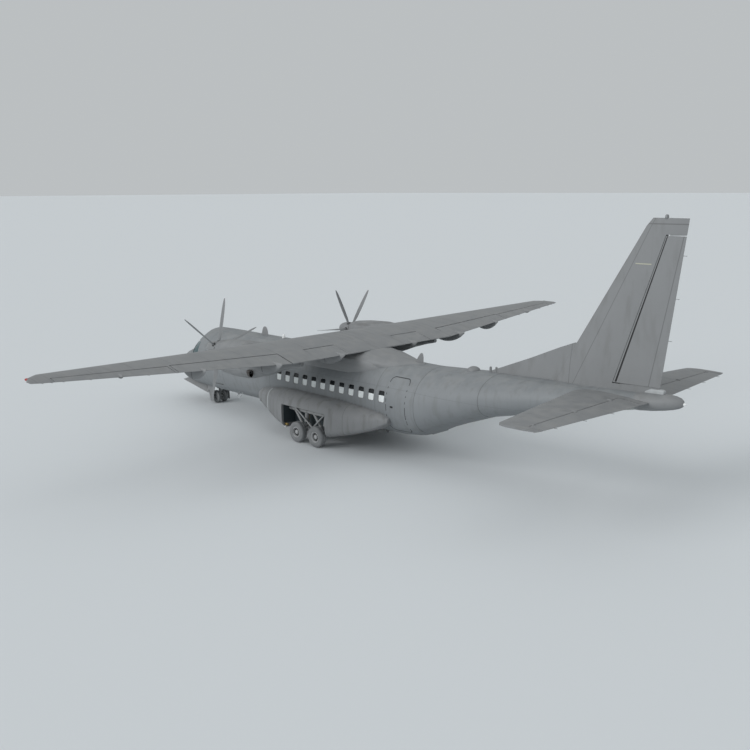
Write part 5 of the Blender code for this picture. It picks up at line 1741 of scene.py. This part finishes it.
WING = Surface(
    (
        (0.0, 9.25, 3.75, 12.20, 3.62, 0.165),
        (4.12, 9.25, 3.75, 12.20, 3.62, 0.165),
        (12.30, 10.24, 4.12, 11.35, 4.09, 0.125),
        (12.70, 10.60, 4.14, 11.30, 4.11, 0.115),
        (12.905, 11.02, 4.14, 11.28, 4.125, 0.100),
    ),
    0.025,
)
TAILPLANE = Surface(
    (
        (0.32, 20.95, 3.43, 23.43, 3.43, 0.095),
        (5.12, 21.72, 3.43, 23.03, 3.43, 0.085),
        (5.30, 21.86, 3.43, 22.98, 3.43, 0.050),
    )
)
FIN = Surface(
    (
        (3.35, 19.84, 0.0, 23.473, 0.0, 0.100),
        (8.40, 22.85, 0.0, 24.095, 0.0, 0.100),
        (8.62, 23.04, 0.0, 24.12, 0.060, 0.060),
    )
)


WICK_ROOT = 0.03
WICK_REACH = 0.11
WICK_RADIUS = 0.005


def wick_set(name: str, body: str, feet: list[Grid]) -> None:
    """Makes thin static wicks.

    Args:
        name: the piece's name.
        body: the body that carries them.
        feet: points on the trailing edge.
    """
    wicks = Shape()
    for foot in feet:
        wicks.rod(foot - (0, WICK_ROOT, 0), foot + (0, WICK_REACH, 0), WICK_RADIUS, 6)
    wicks.made(name, DARK_RUBBER_AND_SLOT_SHADE, body)


@dataclass
class WingFittings:
    """Lamps, filler caps, wicks and brackets of the wings."""

    side: Side
    cap: Rows = ((0.0, 0.006), (0.045, 0.005), (0.055, 0.0), (0.055, -0.02), (0.0, -0.02))
    cap_spans: Pair = (5.9, 8.9)
    cap_share: float = 0.42
    lamp_span: float = 12.74
    # Place along the span and share of the chord where the tip lamp's height and station are read
    lamp_seat: Pair = (12.72, 0.12)
    lamp_radii: Triple = (0.06, 0.12, 0.042)
    bracket_middle: Triple = (10.23, 11.48, 3.985)
    bracket_radii: Triple = (0.045, 0.17, 0.07)
    wing_wicks: Pair = (12.34, 12.60)
    aileron_wicks: tuple[float, ...] = (9.4, 10.3, 11.2, 12.0)

    def on_wing(self, span: float, share: float, face: float) -> Grid:
        """A point of this side's wing: on its upper face at one, in its middle at nought."""
        return place(self.side.value * span, *WING.skin(span, share, face))

    def build(self) -> None:
        """Builds the fittings."""
        word = self.side.word
        lamp = LAMP_RED if self.side is Side.LEFT else LAMP_GREEN
        middle = place(self.side.value * self.lamp_span, *WING.skin(*self.lamp_seat, 0.0))
        lens = Shape().grid(blob(middle, self.lamp_radii), closed=True)
        lens.made(f"tip_lamp_{word}", lamp)
        caps = Shape()
        for span in self.cap_spans:
            caps.lathe(self.cap, self.on_wing(span, self.cap_share, 1.0), Axis.UP)
        caps.made(f"filler_caps_{word}", STEEL)
        aileron = f"aileron_{word}"
        wick_set(f"wing_wicks_{word}", AIRFRAME, [self.on_wing(span, 1.0, 0.0) for span in self.wing_wicks])
        wick_set(f"aileron_wicks_{word}", aileron, [self.on_wing(s, 1.0, 0.0) for s in self.aileron_wicks])
        middle = mirrored(place(*self.bracket_middle), self.side)
        bracket = Shape().grid(blob(middle, self.bracket_radii), closed=True)
        bracket.made(f"aileron_bracket_{word}", WING_PAINT, aileron)


@dataclass
class TailFittings:
    """Beacon, lamps, strips, rounded cone end, hinge seals, brackets and wicks of the tail."""

    # Station, half width, bottom height, top height
    cone_sections: Rows = (
        (22.70, 0.44, 3.10, 3.60),
        (23.00, 0.455, 3.105, 3.645),
        (23.40, 0.405, 3.145, 3.665),
        (23.75, 0.325, 3.205, 3.675),
        (24.00, 0.250, 3.265, 3.665),
        (24.16, 0.175, 3.320, 3.630),
        (24.25, 0.100, 3.375, 3.575),
        (24.285, 0.030, 3.430, 3.500),
    )
    cone_power: float = 0.92
    # Station, height and share of the block's section behind the fin's foot
    block: Rows = ((23.10, 3.60, 0.7), (23.30, 3.655, 1.0), (23.62, 3.665, 1.0), (23.68, 3.66, 0.8))
    beacon: Rows = ((0.0, 0.12), (0.03, 0.115), (0.05, 0.09), (0.055, 0.03), (0.055, 0.0), (0.0, 0.0))
    lamp: Rows = ((0.0, 0.10), (0.022, 0.085), (0.04, 0.04), (0.05, -0.02), (0.0, -0.03))
    strip_stations: Pair = (22.61, 23.10)
    strip_heights: Triple = (7.315, 7.33, 7.345)
    # Height and station of the rudder hinge's lower and upper end
    hinge: tuple[Pair, Pair] = ((3.81, 22.12), (8.14, 23.51))
    hinge_share: float = 0.97
    strip_span: Pair = (3.84, 8.12)
    strip_widths: Pair = (0.040, 0.045)
    seal_shares: tuple[float, ...] = (0.14, 0.45, 0.7, 0.98)
    bracket_spans: Triple = (1.14, 2.94, 4.86)
    elevator_wicks: Triple = (2.2, 3.4, 4.6)
    rudder_wicks: Triple = (5.2, 6.4, 7.6)

    def build(self) -> None:
        """Builds the fittings."""
        Turning("beacon_fin", LAMP_GREY, place(0.0, 23.45, 8.60), self.beacon, steps=20).build()
        self.fin_strips()
        Turning("tail_lamp", LAMP_WHITE, place(0.0, 24.26, 3.465), self.lamp, Axis.AFT).build()
        self.tail_end()
        self.hinge_slot()
        for hand in Side:
            brackets = Shape()
            for span in self.bracket_spans:
                middle = place(hand.value * span, *TAILPLANE.skin(span, 0.66, 1.0))
                brackets.grid(blob(middle, (0.022, 0.09, 0.030), 11, 12), closed=True)
            brackets.made(f"elevator_brackets_{hand.word}", TAIL_PAINT)
        for hand in Side:
            feet = [place(hand.value * s, *TAILPLANE.skin(s, 1.0, 0.0)) for s in self.elevator_wicks]
            wick_set(f"elevator_wicks_{hand.word}", f"elevator_{hand.word}", feet)
        feet = [place(0.0, FIN.skin(height, 1.0, 0.0)[0], height) for height in self.rudder_wicks]
        wick_set("rudder_wicks", "rudder", feet)

    def fin_strips(self) -> None:
        """A pale strip on each face of the fin, a little proud of its skin."""
        low, middle, high = self.strip_heights
        stations = np.linspace(*self.strip_stations, 10)
        lead, _, trail, *_ = FIN.measures(middle)
        half = FIN.skin(middle, np.clip((stations - lead) / (trail - lead), 0, 1), 1.0)[1]
        heights = np.array([low, high])[:, None]
        strip = Shape()
        for hand in Side:
            strip.plate(*(place(hand.value * (half + proud), stations, heights) for proud in (0.006, -0.004)))
        strip.made("fin_strips", PALE_STRIP)

    def tail_end(self) -> None:
        """The pale block behind the fin's foot and the blunt end of the tail cone."""
        station, height, share = np.array(self.block).T
        section = share[:, None, None] * rounded_outline(0.17, 0.24, 0.03, 4)
        block = Shape().tube(carried(place(0.0, station, height), section))
        block.made("tail_block", PALE_PAINT)
        station, half, low, high = np.array(self.cone_sections).T[..., None]
        flat = bulged(circle(1.0, 32), self.cone_power)
        rows = place(half * flat[:, 0], station, (high + low) / 2 + (high - low) / 2 * flat[:, 1])
        Shape().tube(rows).made("tail_cone_end", TAIL_PAINT)

    def rudder_side(self, height: Any, share: Any, proud: float) -> Grid:
        """Points on the rudder's port face.

        Args:
            height: heights.
            share: how far from the hinge line to the trailing edge.
            proud: distance out from the skin.

        Returns:
            The points.
        """
        (low, foot), (high, head) = self.hinge
        hinge = foot + (height - low) * (head - foot) / (high - low)
        lead, _, trail, *_ = FIN.measures(height)
        station = hinge + (trail - hinge) * share
        at_hinge = self.hinge_share * FIN.skin(height, (hinge - lead) / (trail - lead), 1.0)[1]
        return place(at_hinge + (0.003 - at_hinge) * share + proud, station, height)

    def hinge_slot(self) -> None:
        """Strips of painted shade along the rudder's hinge gap, and the seals above and below the rudder."""
        strips, seals = Shape(), Shape()
        heights = np.linspace(*self.strip_span, 24)[:, None]
        width = np.interp(heights, self.strip_span, self.strip_widths)
        share = 0.012 + width * np.linspace(0, 1, 3)[None, :]
        for hand in Side:
            sheets = (self.rudder_side(heights, share, proud) for proud in (0.003, -0.003))
            strips.plate(*(mirrored(sheet, hand) for sheet in sheets))
        strips.made("hinge_strips", DARK_RUBBER_AND_SLOT_SHADE, "rudder")
        shares = np.array(self.seal_shares)
        level = np.ones(len(shares))
        below = (3.785 * level, np.minimum(3.814, 3.800 + 0.03 * shares))
        above = (8.143 + 0.009 * shares, 8.17 * level)
        for heights in (below, above):
            near = [self.rudder_side(height, shares, -0.002) for height in heights]
            rows = [np.concatenate([row, mirrored(row, Side.RIGHT)[::-1]]) for row in near]
            seals.tube(np.stack(rows))
        seals.made("rudder_seals", FIN_PAINT)


@dataclass
class Hold:
    """Inside of the hold: frames, floor rails, the ramp's treads and the crew door's steps."""

    frame_start: float = 4.755
    frame_pitch: float = 0.513
    frame_count: int = 19
    frame_inset: float = 0.084
    frame_section: Rows = ((-0.022, -0.018), (0.022, -0.018), (0.022, 0.018), (-0.022, 0.018))
    rails: tuple[float, ...] = (-0.85, -0.35, 0.35, 0.85)
    treads: tuple[float, ...] = (-0.60, -0.30, 0.0, 0.30, 0.60)
    # Station and height of the ramp's floor at its hinge, how it climbs aft, and how proud the treads are
    ramp_hinge: Pair = (15.25, 1.20)
    ramp_slope: float = 0.3481
    tread_rise: float = 0.006
    tread_stations: Pair = (15.45, 17.75)
    rail_stations: Pair = (4.6, 15.1)
    rail_height: float = 1.207
    step_heights: Triple = (1.62, 1.98, 2.34)

    def build(self) -> None:
        """Builds the hold's fittings."""
        frames, rails, treads, steps = Shape(), Shape(), Shape(), Shape()
        angles = np.radians(np.linspace(-24, 204, 40))
        for station in self.frame_start + self.frame_pitch * np.arange(self.frame_count):
            path = HULL.ring(np.full(len(angles), station), angles, self.frame_inset)
            frames.tube(carried(path, np.array(self.frame_section), AFTWARD))
        frames.made("hold_frames", LINING)
        for span in self.rails:
            path = place(span, np.array(self.rail_stations), self.rail_height)
            rails.tube(carried(path, rounded_outline(0.07, 0.014, 0.003, 2)))
        rails.made("floor_rails", STEEL)
        hinge, floor = self.ramp_hinge
        stations = np.array(self.tread_stations)
        for span in self.treads:
            path = place(span, stations, floor + (stations - hinge) * self.ramp_slope + self.tread_rise)
            treads.tube(carried(path, rounded_outline(0.09, 0.012, 0.003, 2)))
        treads.made("ramp_treads", STEEL, "cargo_ramp")
        for height in self.step_heights:
            skin = HULL.side(3.71, height, 0.06)[0]
            path = place(skin - 0.055, np.array([3.44, 3.98]), height)
            steps.tube(carried(path, rounded_outline(0.13, 0.025, 0.006, 3)))
        steps.made("crew_door_steps", STEEL, "crew_door")


@dataclass
class Studio:
    """The pale floor, the soft lights and the camera at the photograph's angle."""

    camera_place: Triple = (24.0406, 24.0996, 9.4485)
    right: Triple = (-0.70607, 0.70813, -0.00434)
    up: Triple = (-0.14273, -0.13631, 0.98033)
    forward: Triple = (-0.69361, -0.69280, -0.19732)
    lens: float = 44.45
    sensor: float = 36.0
    far: float = 4000.0
    floor_reach: float = 1500.0
    sky: Triple = (0.86, 0.90, 0.92)
    sky_strength: float = 0.58
    # Name, azimuth, elevation, strength, spread
    suns: tuple[tuple[str, float, float, float, float], ...] = (
        ("key_sun", 72.0, 26.0, 1.5, 40.0),
        ("fill_sun", 190.0, 40.0, 0.4, 80.0),
    )

    def build(self) -> None:
        """Builds floor, lights, sky and camera."""
        reach = np.linspace(-self.floor_reach, self.floor_reach, 9)
        grid = np.stack(np.meshgrid(reach, reach, [0.0], indexing="ij"), axis=-1)[:, :, 0]
        mesh = bpy.data.meshes.new("floor")
        mesh.from_pydata(grid.reshape(-1, 3).tolist(), [], lattice(9, 9, False)[:, ::-1].tolist())
        mesh.materials.append(Finish("studio_floor", (0.70, 0.73, 0.75), 0.85).material())
        floor = bpy.data.objects.new("floor", mesh)
        bpy.context.scene.collection.objects.link(floor)
        for name, azimuth, elevation, strength, spread in self.suns:
            light = bpy.data.lights.new(name, "SUN")
            light.energy = strength
            light.angle = math.radians(spread)
            lamp = bpy.data.objects.new(name, light)
            lamp.rotation_euler = (math.radians(90 - elevation), 0.0, math.radians(azimuth))
            bpy.context.scene.collection.objects.link(lamp)
        world = bpy.data.worlds.new("studio")
        world.use_nodes = True
        sky = world.node_tree.nodes["Background"]
        sky.inputs["Color"].default_value = (*self.sky, 1.0)
        sky.inputs["Strength"].default_value = self.sky_strength
        bpy.context.scene.world = world
        bpy.context.scene.view_settings.view_transform = "Standard"
        self.camera()

    def camera(self) -> None:
        """Places the camera: its axes are the photograph's right, up and backward directions."""
        view = bpy.data.cameras.new("camera")
        view.lens = self.lens
        view.sensor_width = self.sensor
        view.clip_end = self.far
        holder = bpy.data.objects.new("camera", view)
        turn = np.eye(4)
        turn[:3, 0], turn[:3, 1], turn[:3, 2] = self.right, self.up, -np.array(self.forward)
        turn[:3, 3] = self.camera_place
        holder.matrix_world = Matrix(turn.tolist())
        bpy.context.scene.collection.objects.link(holder)
        bpy.context.scene.camera = holder


def main() -> None:
    """Builds the aeroplane's looks."""
    logging.basicConfig(level=logging.INFO, format="%(name)s %(message)s")
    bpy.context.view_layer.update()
    Solids().build()
    Glazing().build()
    for side, phase in ((Side.LEFT, 41.0), (Side.RIGHT, 4.0)):
        Propeller(side, math.radians(phase)).build()
        Nacelle(side).build()
        for name, station in (("front", 9.86), ("rear", 10.93)):
            body = f"main_wheel_{side.word}_{name}"
            wheel = WheelSet(
                body,
                station,
                radius=0.40,
                width=0.27,
                spans=(side.value * 1.97,),
                hub_radius=0.19,
                facing=(side.value,),
            )
            wheel.build(body)
        MainGear(side).build()
        SponsonFittings(side).build()
        WingFittings(side).build()
    twins = WheelSet(
        "nose_wheels",
        2.10,
        radius=0.28,
        width=0.17,
        spans=(-0.19, 0.19),
        hub_radius=0.13,
        facing=(-1, 1),
        steps=24,
        axle=0.049,
    )
    twins.build("nose_wheels")
    NoseGear().build()
    HullFittings().build()
    TailFittings().build()
    Hold().build()
    Studio().build()


if __name__ == "__main__":
    main()
